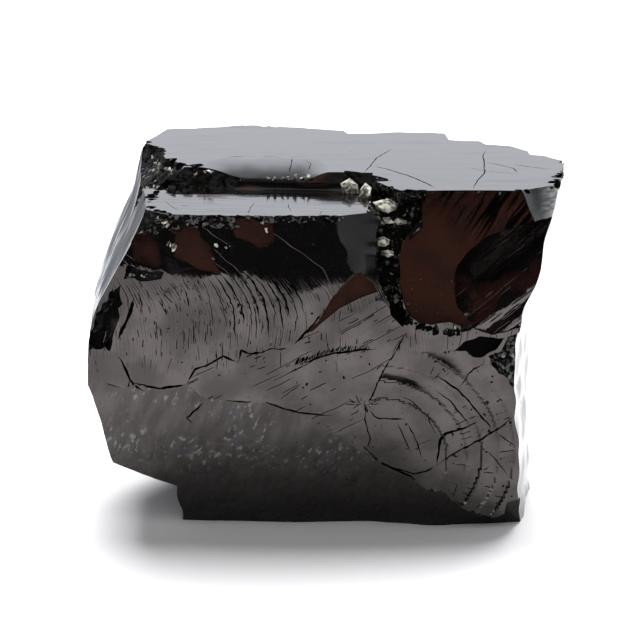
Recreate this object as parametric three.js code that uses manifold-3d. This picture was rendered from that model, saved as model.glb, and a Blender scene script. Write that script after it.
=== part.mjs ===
// A hand specimen of noble shungite, a black glassy natural carbon, resting on its broken base.
// Millimetres, +Z up, X across the broad front, Y towards the back, origin under the middle of the
// bounding box at the height of the base.
//
// One natural lump, so one solid. It starts as a block, is cleaved on every side to its outline,
// and is then scarred the way glass breaks: each scar is a cutter whose face is the broken surface,
// hollowed and rippled around the point that was struck.
import * as THREE from "three";
import { mergeVertices } from "three/addons/utils/BufferGeometryUtils.js";
import Module from "manifold-3d";

const wasm = await Module();
wasm.setup();

// ---------------------------------------------------------------- driving dimensions
const WIDTH = 47;
const DEPTH = 32.2;
const HEIGHT = 34.5;

const BULGE_RADIUS = 32; // the front is a shallow barrel, lying along X
const BULGE_HEIGHT = 19.5; // height of the barrel's foremost line
const SIDE_SWEEP = 120; // how gently the front turns back towards its two ends
const SWEEP_CENTRE = -2; // X of the foremost point of the front

const TERRACE_HEIGHT = 32.2; // the lower of the two mirror-flat tops
const TERRACE_END = 4.4; // X where the terrace stops
const RISER_FOOT = -6.3; // Y of the riser at that end
const RISER_TURN = THREE.MathUtils.degToRad(-12); // the riser runs forward to the right

const FRONT_COLUMNS = 0.8; // mesh pitch across the ribbed front
const FRONT_ROWS = 1.9; // mesh pitch up the front
const SIDE_GRID = 2.3; // mesh pitch on the right flank
const SCAR_GRID = 1.1; // mesh pitch inside the scars of the front
const FACE_SIDES = 20; // facets round a broken face
const FAR = 60; // longer than the lump in any direction

const CHIPS = 46; // small breaks along the sharp edges

// ---------------------------------------------------------------- small helpers
const { cos, sin, hypot, min, max, floor, sqrt, PI } = Math;
const smooth = THREE.MathUtils.smoothstep;

/** A closed geometry as a manifold solid. */
function solid(geometry) {
  const bare = geometry.clone();
  bare.deleteAttribute("normal");
  bare.deleteAttribute("uv");
  const merged = mergeVertices(bare, 1e-4);
  const mesh = new wasm.Mesh({
    numProp: 3,
    vertProperties: new Float32Array(merged.attributes.position.array),
    triVerts: new Uint32Array(merged.index.array),
  });
  return new wasm.Manifold(mesh);
}

/** A closed outline from [a, b] points, for an extrusion. */
function outline(points) {
  return new THREE.Shape(points.map(([a, b]) => new THREE.Vector2(a, b)));
}

/** An X-Z outline drawn out along the whole of Y. */
function prismAlongY(shape) {
  const geometry = new THREE.ExtrudeGeometry(shape, {
    depth: FAR,
    bevelEnabled: false,
    curveSegments: 16,
  });
  return geometry.rotateX(PI / 2).translate(0, FAR / 2, 0);
}

/** A repeatable random number from 0 to 1 for a whole number. */
function chance(n) {
  const s = sin(n * 127.1 + 11.7) * 43758.5453;
  return s - floor(s);
}

/** Gentle unevenness, about -1 to 1, that no two places share. */
function uneven(a, b) {
  return 0.6 * sin(0.61 * a + 1.3 * sin(0.37 * b)) + 0.4 * sin(1.27 * b - 0.53 * a + 2);
}

// ---------------------------------------------------------------- the front surface
/** Y of the smooth front at (x, z). */
function barrel(x, z) {
  const bow = BULGE_RADIUS - sqrt(BULGE_RADIUS ** 2 - (z - BULGE_HEIGHT) ** 2);
  return -DEPTH / 2 + bow + (x - SWEEP_CENTRE) ** 2 / (2 * SIDE_SWEEP);
}

// Ribs that fan down the upper left: they start aslant under the terrace and hang straight below.
const RIBS = { left: -20.5, right: -2.5, foot: 17, bend: 23, slant: 0.1, pitch: 2.5, height: 0.1 };

function ribs(x, z) {
  const line = x + RIBS.slant * max(0, z - RIBS.bend) ** 2;
  const up = smooth(z, RIBS.foot, RIBS.foot + 5);
  const across = smooth(x, RIBS.left, RIBS.left + 2) * smooth(RIBS.right - x, 0, 3);
  return -RIBS.height * up * across * sin((2 * PI * line) / RIBS.pitch);
}

/** Y of the broken front at (x, z). */
function front(x, z) {
  return barrel(x, z) + ribs(x, z) + 0.12 * uneven(x, z);
}

/** All that lies in front of y = face(x, z), over an X-Z rectangle. */
function aheadOf(face, [x0, x1], [z0, z1], column, row = column) {
  const across = max(1, Math.round((x1 - x0) / column));
  const up = max(1, Math.round((z1 - z0) / row));
  const geometry = new THREE.BoxGeometry(x1 - x0, FAR, z1 - z0, across, 1, up);
  geometry.translate((x0 + x1) / 2, 0, (z0 + z1) / 2);
  const p = geometry.attributes.position;
  for (let i = 0; i < p.count; i++) {
    p.setY(i, p.getY(i) > 0 ? face(p.getX(i), p.getZ(i)) : -FAR / 2);
  }
  return solid(geometry);
}

/** Carves the front back to y = face(x, z) inside an X-Z outline. */
function carve(stone, shape, face, column = SCAR_GRID, row = column) {
  const points = shape.extractPoints(20).shape;
  const xs = points.map((p) => p.x);
  const zs = points.map((p) => p.y);
  const sheet = aheadOf(face, [min(...xs), max(...xs)], [min(...zs), max(...zs)], column, row);
  return stone.subtract(sheet.intersect(solid(prismAlongY(shape))));
}

// ---------------------------------------------------------------- broken faces on any side
/**
 * A cutter for one broken face. `at` is the middle of the face and `facing` the way it looks. The
 * face is hollowed like a shell by `dish`, and ripples spread over it from the point that was
 * struck, which lies on its rim at the angle `blow`.
 */
function fracture({ at, facing, reach, dish = 0, wave = 5, swell = 0.12, blow = 1.5, rough = 0.2 }) {
  const steps = max(4, Math.round((reach * 2.2) / wave));
  const profile = [];
  for (let i = 0; i <= steps; i++) profile.push(new THREE.Vector2((reach * i) / steps, 0));
  profile.push(new THREE.Vector2(reach, FAR / 2), new THREE.Vector2(0, FAR / 2));
  const geometry = new THREE.LatheGeometry(profile, FACE_SIDES);
  const p = geometry.attributes.position;
  for (let i = 0; i < p.count; i++) {
    const [a, b] = [p.getX(i), p.getZ(i)];
    if (p.getY(i) > FAR / 4) continue;
    const bowl = -dish * (1 - (a * a + b * b) / reach ** 2);
    const struck = hypot(a - reach * cos(blow), b - reach * sin(blow));
    p.setY(i, bowl + swell * sin((2 * PI * struck) / wave) + rough * uneven(a, b));
  }
  const turn = new THREE.Quaternion().setFromUnitVectors(
    new THREE.Vector3(0, 1, 0),
    new THREE.Vector3(...facing).normalize(),
  );
  geometry.applyQuaternion(turn).translate(...at);
  return solid(geometry);
}

// ---------------------------------------------------------------- outline of the lump
function blank() {
  const block = new THREE.BoxGeometry(WIDTH, DEPTH, HEIGHT).translate(0, 0, HEIGHT / 2);
  const across = [-WIDTH / 2 - 1, WIDTH / 2 + 1];
  return solid(block).subtract(aheadOf(front, across, [-0.5, HEIGHT + 0.5], FRONT_COLUMNS, FRONT_ROWS));
}

/** X of the right flank: upright below, then flaring out in one quick step under the top. */
function flank(y, z) {
  const foot = 0.5 * (1 - smooth(z, 8, 14));
  const flare = (2.95 * max(0, z - 20)) / (HEIGHT - 20) + 0.6 * smooth(z, 23, 26);
  return 18.4 + foot + 0.15 * (y + 11) + flare + 0.15 * uneven(1.3 * y, 1.2 * z);
}

function rightFlank() {
  const across = [-DEPTH / 2 - 1, DEPTH / 2 + 1];
  // A sheet in front of the plane, turned to lie outside the right flank.
  const sheet = aheadOf((a, z) => -flank(a, z), across, [-0.5, HEIGHT + 0.5], SIDE_GRID);
  return sheet.rotate([0, 0, 90]);
}

const CLEAVED = [
  { name: "back", at: [-10, 15.6, 20], facing: [0.02, 1, -0.08], reach: 38, dish: 0.5, wave: 7 },
  { name: "back shoulder", at: [11, 12.8, 20], facing: [0.26, 0.97, -0.02], reach: 38, wave: 6 },
  { name: "back right", at: [18.4, 7.4, 20], facing: [0.76, 0.65, 0.06], reach: 38, wave: 6 },
  { name: "left front", at: [-18, -6.5, 32.2], facing: [-0.814, -0.296, 0.5], reach: 38, swell: 0.04, rough: 0.1 },
  { name: "left", at: [-23.4, -5, 19], facing: [-0.99, -0.12, 0], reach: 38, swell: 0.03, rough: 0.1 },
  { name: "left lower", at: [-22.7, -6, 14], facing: [-0.96, -0.06, -0.26], reach: 38, swell: 0.1 },
  { name: "left back", at: [-21.2, 9, 20], facing: [-0.95, 0.25, 0.18], reach: 38, wave: 6 },
  { name: "terrace corner", at: [-15, -10.9, 33], facing: [-0.55, -0.7, 0.45], reach: 30, wave: 4, rough: 0.15 },
  { name: "top corner", at: [-16.6, 3.1, 34.5], facing: [-0.78, -0.4, 0.48], reach: 7, rough: 0.5 },
];

/** The undercut foot on the left: a sloping underside that stops at an upright break. */
function undercut() {
  const underside = fracture({ at: [-17, 0, 6.2], facing: [-0.42, 0.05, -0.9], reach: 38, wave: 6 });
  const upright = fracture({ at: [-13.9, 0, 3], facing: [-1, 0.06, 0.02], reach: 38, wave: 6 });
  return underside.intersect(upright);
}

// ---------------------------------------------------------------- the stepped top
/** What stood over the terrace: flat floor, a quarter-round at the back and a leaning riser. */
function overTerrace() {
  const lean = 0.35;
  const fillet = 2.6;
  const profile = new THREE.Shape();
  profile.moveTo(-lean, HEIGHT + 2);
  profile.lineTo(0, HEIGHT);
  profile.lineTo(lean, TERRACE_HEIGHT + 1.4);
  profile.quadraticCurveTo(2 * lean, TERRACE_HEIGHT, fillet, TERRACE_HEIGHT);
  profile.lineTo(FAR / 3, TERRACE_HEIGHT);
  profile.lineTo(FAR / 3, HEIGHT + 2);
  const geometry = new THREE.ExtrudeGeometry(profile, {
    depth: FAR / 2,
    bevelEnabled: false,
    curveSegments: 6,
  });
  // Profile x runs forward (-Y), profile y up, and the extrusion leftwards (-X).
  const basis = new THREE.Matrix4().makeBasis(
    new THREE.Vector3(0, -1, 0),
    new THREE.Vector3(0, 0, 1),
    new THREE.Vector3(-1, 0, 0),
  );
  return solid(geometry.applyMatrix4(basis).rotateZ(RISER_TURN).translate(TERRACE_END, RISER_FOOT, 0));
}

/** The thumbnail-shaped dip where the riser's rim flaked away. */
const THUMBNAIL = { at: [-5.8, -2.6, HEIGHT], facing: [0, -0.07, 1], reach: 6, dish: 0.35, swell: 0, rough: 0 };

// ---------------------------------------------------------------- scars on the front
/** The pale wedge that falls forward from the end of the terrace. */
function wedge(stone) {
  const shape = outline([
    [1, 32.6], [5.2, 32.6], [6.2, 30], [5.6, 27], [4.6, 24.4], [3.4, 23.4], [2.4, 25.4], [1.5, 28.6],
  ]);
  return carve(stone, shape, (x, z) => -11.2 - 0.6 * (32 - z) + 0.05 * (x - 3), 2);
}

/** A brown three-cornered scar under the wedge, deepest along its top. */
function brownScar(stone) {
  const shape = new THREE.Shape();
  shape.moveTo(-3.6, 20.5);
  shape.lineTo(-1.4, 23.2);
  shape.quadraticCurveTo(1, 26.2, 3.2, 25.9);
  shape.quadraticCurveTo(5.6, 25.2, 6.1, 23.2);
  shape.lineTo(2.2, 21.9);
  const foot = (x) => 20.5 + 0.28 * (x + 3.6);
  return carve(stone, shape, (x, z) => barrel(x, z) + 0.1 + 0.3 * max(0, z - foot(x)), 1.6);
}

/** The smooth brown crescent: a leaning, slightly dished face with a round lower left rim. */
const CRESCENT = { x: 13, z: 28.3, radius: 6.5, top: 34.3, lean: 0.235, dish: 0.5 };

function crescentFace(x, z) {
  const r = hypot(x - CRESCENT.x, z - CRESCENT.z) / CRESCENT.radius;
  return -11.9 - CRESCENT.lean * (CRESCENT.top - z) + CRESCENT.dish * (1 - r * r);
}

function crescent(stone) {
  const shape = new THREE.Shape();
  shape.moveTo(17, HEIGHT + 1);
  shape.lineTo(10.4, HEIGHT + 1);
  shape.lineTo(10, 34);
  shape.absarc(CRESCENT.x, CRESCENT.z, CRESCENT.radius, 0.66 * PI, 1.8 * PI, false);
  shape.lineTo(21, 28);
  return carve(stone, shape, crescentFace, 1.5);
}

/** The black hollow beside it, whose floor leans back and breaks into ridges on the lower right. */
const HOLLOW = { x: 18.2, z: 26, radius: 5.9, step: 0.5, lean: 0.16, turn: 0.1, ridge: 0.2, pitch: 1.9 };

function hollowFace(x, z) {
  const across = x - HOLLOW.x;
  const up = z - HOLLOW.z;
  const climb = 0.62 * across - 0.78 * up; // grows towards the lower right
  const ridges = HOLLOW.ridge * smooth(climb, -1, 1) * sin((2 * PI * climb) / HOLLOW.pitch);
  const floor = HOLLOW.step + HOLLOW.lean * (up + HOLLOW.radius) + HOLLOW.turn * (across + HOLLOW.radius);
  return crescentFace(x, z) + floor - 0.35 * max(0, climb) + ridges;
}

function hollow(stone) {
  const shape = new THREE.Shape();
  shape.absarc(HOLLOW.x, HOLLOW.z, HOLLOW.radius, 0, 2 * PI, false);
  return carve(stone, shape, hollowFace, 0.8);
}

/** A black lens-shaped chip below the crescent, and a rough one beside it at the right edge. */
function lenses(stone) {
  const lens = outline([
    [10.4, 20], [12.6, 20.9], [15.3, 21.2], [17, 20.4], [16.2, 19.5], [14.4, 18.9], [12.2, 19.1],
  ]);
  const edge = outline([
    [16.4, 19.8], [17.6, 21], [20, 21.2], [20, 15], [18.9, 14.8], [17.4, 16.6], [16.1, 18.6],
  ]);
  const dipped = carve(stone, lens, (x, z) => barrel(x, z) + 0.1 + 0.4 * max(0, z - 18.8), 1.2);
  return carve(dipped, edge, (x, z) => barrel(x, z) + 0.2 + 0.2 * (z - 15) + 0.15 * sin(3 * x + z), 0.8);
}

// Rings around the point on the lower right that was struck.
const RINGS = { x: 4.7, z: 12.2, inner: 4.5, outer: 16, pitch: 2.3, height: 0.17 };

/** Rings that spread up and to the right from the blow, cut as a fan of shallow steps. */
function ringFace(x, z) {
  const r = hypot(x - RINGS.x, z - RINGS.z);
  const fade = smooth(r, RINGS.inner, RINGS.inner + 2) * (1 - smooth(r, RINGS.outer - 2, RINGS.outer));
  return barrel(x, z) + 0.12 + RINGS.height * fade * (1 + sin((2 * PI * r) / RINGS.pitch));
}

function ringFan(stone) {
  const shape = outline([
    [6.6, 7], [5.4, 13.6], [6.2, 17.6], [9.2, 20], [13.4, 18.4], [16.4, 15.6], [19.4, 13.6], [19.4, 2.6],
    [17.4, 2.3], [13, 4.2], [10.1, 5.1],
  ]);
  return carve(stone, shape, ringFace, 1);
}

/** The duller lower left and the dark undercut, set back behind the rim that crosses the front. */
function lowerFace(x, z) {
  const fall = smooth(12 - z, 0, 12);
  return barrel(x, z) + 0.6 + 0.5 * sin(PI * fall) * smooth(x, -16, 8) + 0.12 * uneven(x, z);
}

function lowerFront(stone) {
  const shape = outline([
    [-26, 17.4], [-22, 17.3], [-19.9, 15.9], [-16.9, 15.7], [-13.6, 15.8], [-12.1, 14.5],
    [-9.6, 15.3], [-6.8, 15.1], [-2.6, 14.3], [1.3, 12.6], [3.4, 10.4], [5.1, 8.4], [7.1, 6.6],
    [8.6, 6.1], [10.1, 5.1], [11.6, 5], [13, 4.2], [15, 2.9], [17.4, 2.3], [19.3, 2.6],
    [19.6, 1.4], [19.6, 0.8], [-26, 0.8],
  ]);
  return carve(stone, shape, lowerFace, 1.5, 1.5);
}

// ---------------------------------------------------------------- scars on the other sides
const SCARS = [
  { at: [5.9, -10.6, 33.4], facing: [-0.35, -0.6, 0.72], reach: 4.3, dish: 0.5, swell: 0 },
  { at: [-20.9, -13.4, 21], facing: [-0.78, -0.62, 0.08], reach: 5, dish: 0.3, wave: 2.5 },
  { at: [21.6, 2, 8], facing: [0.95, 0.3, -0.1], reach: 9, dish: 2.2, wave: 3, blow: 2.4 },
  { at: [15.8, 9.2, 24], facing: [0.6, 0.8, 0.1], reach: 10, dish: 2.2, wave: 3, blow: 4.2 },
  { at: [3, 13.6, 13], facing: [0.1, 0.97, -0.2], reach: 11.5, dish: 2.6, wave: 3.4, blow: 0.4 },
  { at: [-12, 14.7, 22], facing: [-0.25, 0.97, 0.05], reach: 12, dish: 2.4, wave: 3.2, blow: 5.5 },
  { at: [-19.4, 8.8, 10], facing: [-0.8, 0.6, -0.1], reach: 11, dish: 2.2, wave: 3, blow: 1 },
  { at: [-22.2, 1, 22], facing: [-0.92, 0.2, 0.3], reach: 9, dish: 1.7, wave: 3, blow: 3.5 },
];

// ---------------------------------------------------------------- chipped edges
// Each edge is a run of points; the chips sit on it at irregular steps.
const EDGES = [
  [[-16.9, -8.6, 32.2], [-13.8, -12.2, 32.2], [-8.2, -13.4, 32.2], [2.2, -13.4, 32.2]],
  [[-19, 8, 34.5], [-17.4, 3.5, 34.5], [-15.4, -0.9, 34.5]],
  [[9.4, -11.8, 34.5], [13.5, -12, 34.5], [20.6, -10.6, 34.5]],
  [[21.8, -8, 34.5], [23, -3, 34.5], [19.8, 6.3, 34.5], [13.6, 13, 34.5]],
  [[12.4, 14.2, 34.5], [3.8, 16, 34.5], [-13, 16, 34.5]],
  [[-13.9, -9.7, 0], [-2.6, -10.2, 0], [17.2, -9.2, 0]],
];

/** A small angular bite: a stretched octahedron in a random pose. */
function bite(n, [x, y, z]) {
  const size = 0.45 + 0.75 * chance(n + 0.3) ** 2;
  const geometry = new THREE.OctahedronGeometry(size).scale(1.5, 1, 0.8);
  const pose = new THREE.Euler(6 * chance(n + 0.1), 6 * chance(n + 0.5), 6 * chance(n + 0.7));
  geometry.applyQuaternion(new THREE.Quaternion().setFromEuler(pose));
  return solid(geometry.translate(x, y, z));
}

function chipEdges(stone) {
  let chipped = stone;
  for (let n = 0; n < CHIPS; n++) {
    const edge = new THREE.CatmullRomCurve3(
      EDGES[n % EDGES.length].map((p) => new THREE.Vector3(...p)),
      false,
      "catmullrom",
      0,
    );
    const spot = edge.getPointAt(chance(n));
    chipped = chipped.subtract(bite(n, spot.toArray()));
  }
  return chipped;
}

// ---------------------------------------------------------------- the finished lump
function shungite() {
  let stone = blank().subtract(rightFlank());
  for (const face of CLEAVED) stone = stone.subtract(fracture(face));
  stone = stone.subtract(undercut());
  stone = stone.subtract(overTerrace());
  stone = stone.subtract(fracture(THUMBNAIL));
  stone = ringFan(stone);
  stone = lowerFront(stone);
  stone = wedge(stone);
  stone = brownScar(stone);
  stone = crescent(stone);
  stone = hollow(stone);
  stone = lenses(stone);
  for (const scar of SCARS) stone = stone.subtract(fracture(scar));
  return chipEdges(stone);
}

/** A manifold solid as a three.js geometry. */
function geometryOf(stone) {
  const { numProp, vertProperties, triVerts } = stone.getMesh();
  const points = new THREE.InterleavedBuffer(vertProperties, numProp);
  const geometry = new THREE.BufferGeometry();
  geometry.setAttribute("position", new THREE.InterleavedBufferAttribute(points, 3, 0));
  geometry.setIndex(new THREE.BufferAttribute(triVerts, 1));
  return geometry.toNonIndexed();
}

const glassyCarbon = new THREE.MeshStandardMaterial({
  color: 0x1b1a19,
  roughness: 0.18,
  metalness: 0,
  flatShading: true,
});

const lump = new THREE.Mesh(geometryOf(shungite()), glassyCarbon);
lump.name = "shungite";

const specimen = new THREE.Group();
specimen.add(lump);

export default specimen;
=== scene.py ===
# %% [markdown]
# # A lump of noble shungite
#
# Noble shungite is almost pure natural carbon. It breaks the way thick glass does: in curved,
# shell-like faces with fine ribs and rings, and in flats like black mirrors. In this lesson we
# break such a lump out of a plain block, one blow at a time, and then light it as a small stone
# in a light tent.
#
# The first cell fetches the finished solid that our lump has to match.

# %% Fetch the solid
import bmesh
import bpy
import math
import numpy as np
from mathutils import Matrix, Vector

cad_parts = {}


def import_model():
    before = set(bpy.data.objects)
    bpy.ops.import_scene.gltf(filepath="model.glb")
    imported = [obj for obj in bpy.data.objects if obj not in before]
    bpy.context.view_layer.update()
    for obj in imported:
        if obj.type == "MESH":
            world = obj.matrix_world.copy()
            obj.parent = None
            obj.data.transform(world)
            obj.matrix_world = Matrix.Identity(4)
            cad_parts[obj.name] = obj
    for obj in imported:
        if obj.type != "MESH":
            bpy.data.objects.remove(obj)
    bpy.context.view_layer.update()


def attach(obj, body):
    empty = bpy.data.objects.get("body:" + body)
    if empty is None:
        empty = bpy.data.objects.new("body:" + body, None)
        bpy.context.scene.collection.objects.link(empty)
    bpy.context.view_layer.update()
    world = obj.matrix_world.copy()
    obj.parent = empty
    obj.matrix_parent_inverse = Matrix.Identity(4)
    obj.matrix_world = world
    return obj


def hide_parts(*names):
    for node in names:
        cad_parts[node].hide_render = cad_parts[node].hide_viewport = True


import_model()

# %% [markdown]
# ## Numbers and a little maths
#
# We think in millimetres and turn them into metres only when a mesh is made. Two kinds of
# unevenness are wanted all over a broken surface: slow waves, and noise that never repeats. The
# noise is worked out from whole numbers alone, so that the stone comes out the same every time.

# %% Numbers and noise
MM = 0.001
WIDTH, DEPTH, HEIGHT = 47.0, 32.2, 34.5     # the block, in mm
TERRACE = 33.0                              # height of the lower flat top
FAR = 40.0                                  # further than any side of the lump
SPARE = 0.4                                 # how far a cut runs past the block's top and base


def smooth(v, start, end):
    """0 before start, 1 after end, and an easy slope between."""
    t = np.clip((v - start) / (end - start), 0, 1)
    return t * t * (3 - 2 * t)


def dice(i, j, seed):
    """A fair random number from 0 to 1 for each lattice point."""
    n = i.astype(np.int64) * 374761393 + j.astype(np.int64) * 668265263 + seed * 974634541
    n &= 0x7FFFFFFF
    n = ((n ^ (n >> 13)) * 1274126177) & 0x7FFFFFFF
    return ((n ^ (n >> 16)) & 0xFFFFF) / 0xFFFFF


def noise(x, y, seed=0):
    """Smooth noise from -1 to 1, with a feature about every unit."""
    x, y = np.asarray(x, float) + 0.0 * y, np.asarray(y, float) + 0.0 * x
    i, j = np.floor(x), np.floor(y)
    u, v = smooth(x - i, 0, 1), smooth(y - j, 0, 1)
    low = dice(i, j, seed) * (1 - u) + dice(i + 1, j, seed) * u
    high = dice(i, j + 1, seed) * (1 - u) + dice(i + 1, j + 1, seed) * u
    return 2 * (low * (1 - v) + high * v) - 1


def uneven(a, b):
    """Gentle waves, about -1 to 1."""
    return 0.6 * np.sin(0.61 * a + 1.3 * np.sin(0.37 * b)) + 0.4 * np.sin(1.27 * b - 0.53 * a + 2)


print("noise at three places:", noise(np.array([0.2, 3.7, 9.1]), np.array([1.0, 2.5, 4.4])).round(2))

# %% [markdown]
# ## Tools for breaking stone
#
# Every break is made the same way. A sheet takes the shape of the new face. Its rim is drawn
# away from the stone and closed, so that the sheet becomes a chunk of "everything that flew off",
# and a Boolean modifier takes that chunk away. The face that stays behind keeps the sheet's own
# material and its grain: a map that runs across and along the ribs of that break.
#
# Pushing the faces of one mesh about would be simpler, but the edges of a real break are sharp
# and cross each other. Only cutting gives those edges without our having to plan them.

# %% Small helpers
def only(obj):
    """Select one object and nothing else."""
    bpy.ops.object.select_all(action="DESELECT")
    obj.select_set(True)
    bpy.context.view_layer.objects.active = obj
    return obj


def put(data, key, values, kind=float):
    """Write one value per element into a mesh layer."""
    data.foreach_set(key, np.ascontiguousarray(values, dtype=kind).ravel())


def points_of(mesh):
    """All the vertices of a mesh, in mm."""
    flat = np.empty(len(mesh.vertices) * 3, np.float32)
    mesh.vertices.foreach_get("co", flat)
    return flat.reshape(-1, 3).astype(float) / MM


print("helpers are ready")

# %% Opening and closing a mesh
def opened(name, corners, faces, surface):
    """A mesh from lists of corners and faces, in edit mode and all selected."""
    mesh = bpy.data.meshes.new(name)
    mesh.from_pydata(corners, [], faces)
    mesh.materials.append(surface)
    piece = bpy.data.objects.new(name, mesh)
    bpy.context.collection.objects.link(piece)
    only(piece)
    bpy.ops.object.mode_set(mode="EDIT")
    bpy.ops.mesh.select_all(action="SELECT")
    return piece


def closed(piece):
    """Turn all the faces of the edited mesh outwards and leave edit mode."""
    bpy.ops.mesh.select_all(action="SELECT")
    bpy.ops.mesh.normals_make_consistent(inside=False)
    body = bmesh.from_edit_mesh(piece.data)
    if body.calc_volume(signed=True) < 0:   # a deep, wavy cap can fool Blender about which side is out
        bpy.ops.mesh.flip_normals()
    bpy.ops.object.mode_set(mode="OBJECT")
    return piece


print("meshes are opened and closed in one way")

# %% The chunk that flies off
def chunk(name, place, grain, a_range, b_range, pitch, away, surface):
    """A closed chunk: the sheet of points place(a, b), with its rim drawn off along away and capped."""
    cells = [max(2, round((r[1] - r[0]) / p)) for r, p in zip((a_range, b_range), pitch)]
    bpy.ops.object.select_all(action="DESELECT")
    bpy.ops.mesh.primitive_grid_add(x_subdivisions=cells[0], y_subdivisions=cells[1], size=1)
    piece = bpy.context.object
    piece.name = name
    mesh = piece.data
    unit = points_of(mesh) * MM + 0.5
    a = a_range[0] + unit[:, 0] * (a_range[1] - a_range[0])
    b = b_range[0] + unit[:, 1] * (b_range[1] - b_range[0])
    put(mesh.vertices, "co", np.stack(np.broadcast_arrays(*place(a, b)), axis=1) * MM)
    across, along = np.broadcast_arrays(*grain(a, b))
    corner = np.empty(len(mesh.loops), np.int32)
    mesh.loops.foreach_get("vertex_index", corner)
    mesh.uv_layers[0].name = "grain"
    put(mesh.uv_layers[0].data, "uv", np.stack([across[corner], along[corner]], axis=1))
    mesh.materials.append(surface)
    bpy.ops.object.mode_set(mode="EDIT")
    bpy.ops.mesh.select_all(action="SELECT")
    bpy.ops.mesh.region_to_loop()
    bpy.ops.mesh.extrude_region_move(TRANSFORM_OT_translate={"value": Vector(away) * FAR * MM})
    bpy.ops.mesh.edge_face_add()
    return closed(piece)


print("chunks are drawn off by", FAR, "mm")

# %% Taking a chunk away
def combine(target, tool, operation="DIFFERENCE"):
    """Cut a tool from the target, or keep what they share, and throw the tool away."""
    only(target)
    step = target.modifiers.new(operation, "BOOLEAN")
    step.operation = operation
    step.solver = "MANIFOLD"
    step.material_mode = "TRANSFER"
    step.object = tool
    bpy.ops.object.modifier_apply(modifier=step.name)
    bpy.data.objects.remove(tool, do_unlink=True)
    return target


def as_is(a, b):
    return a, b


def beside(name, face, y_range, z_range, pitch, side, surface):
    """The chunk that lies right of x = face(y, z), or left of it where side is -1."""
    away = side, 0, 0
    return chunk(name, lambda y, z: (face(y, z), y, z), as_is, y_range, z_range, pitch, away, surface)


def before(name, face, x_range, z_range, pitch, surface, grain=as_is):
    """The chunk that lies in front of y = face(x, z)."""
    return chunk(name, lambda x, z: (x, face(x, z), z), grain, x_range, z_range, pitch, (0, -1, 0), surface)


print("chunks can be taken away")

# %% [markdown]
# ## Finishes
#
# The whole lump is one glassy black carbon. Its own colour is almost black and its lustre comes
# from a high refractive index, so what we see on it is mostly reflection. Each kind of break
# still gets its own finish, because each mirrors the room in its own way.
#
# A finish is a tree of nodes. The first class gives short words for the plain ones, and the room
# will use it too. The second adds what finishes are made of: soft clouds, crisp hair lines, a
# change with height, and a relief for the bump. All of them read the stone's own coordinates or
# its grain, so that no pattern slides.

# %% Short words for nodes
class Tree:
    """A node tree, with short words for the nodes that come up again and again."""

    def __init__(self, tree):
        self.tree = tree

    def node(self, kind, links=(), **settings):
        """Add a node, set its properties, and give its sockets values or links."""
        node = self.tree.nodes.new(kind)
        for key, value in settings.items():
            setattr(node, key, value)
        for key, value in dict(links).items():
            if isinstance(value, bpy.types.NodeSocket):
                self.tree.links.new(value, node.inputs[key])
            else:
                node.inputs[key].default_value = value
        return node

    def sum(self, a, b, operation="ADD"):
        return self.node("ShaderNodeMath", {0: a, 1: b}, operation=operation).outputs[0]

    def times(self, first, *others):
        for other in others:
            first = self.sum(first, other, "MULTIPLY")
        return first

    def either(self, first, *others):
        """The strongest of several marks."""
        for other in others:
            first = self.sum(first, other, "MAXIMUM")
        return first

    def part(self, vector, axis):
        """One coordinate of a vector: 0, 1 or 2 for X, Y or Z."""
        return self.node("ShaderNodeSeparateXYZ", {0: vector}).outputs[axis]

    def ramp(self, value, start, end, low=0.0, high=1.0):
        """low before start, high after end, and an easy slope between."""
        links = {"Value": value, "From Min": start, "From Max": end, "To Min": low, "To Max": high}
        return self.node("ShaderNodeMapRange", links, interpolation_type="SMOOTHSTEP").outputs[0]


print("node words are ready")

# %% [markdown]
# ### What every finish shares
#
# A finish starts as glassy black carbon. Its relief is summed up in mm and becomes one bump at
# the end. The stone's coordinates are turned into mm first, so that a size in a finish can be
# read as so many features per mm.

# %% A finish of the carbon
# SHADE_BLACK is painted shade: the black that cracks, pits and strokes are given
BLACK, SHADE_BLACK = (0.004, 0.0036, 0.0036), (0.001, 0.001, 0.001)     # the carbon, and the bottom of a pit
# WARM is a painted warm tint on what the upright breaks mirror
WARM = (1, 0.9, 0.86)                       # upright breaks mirror a little warmer than the flats
GLASSY = 1.75                               # refractive index of the carbon


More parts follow.
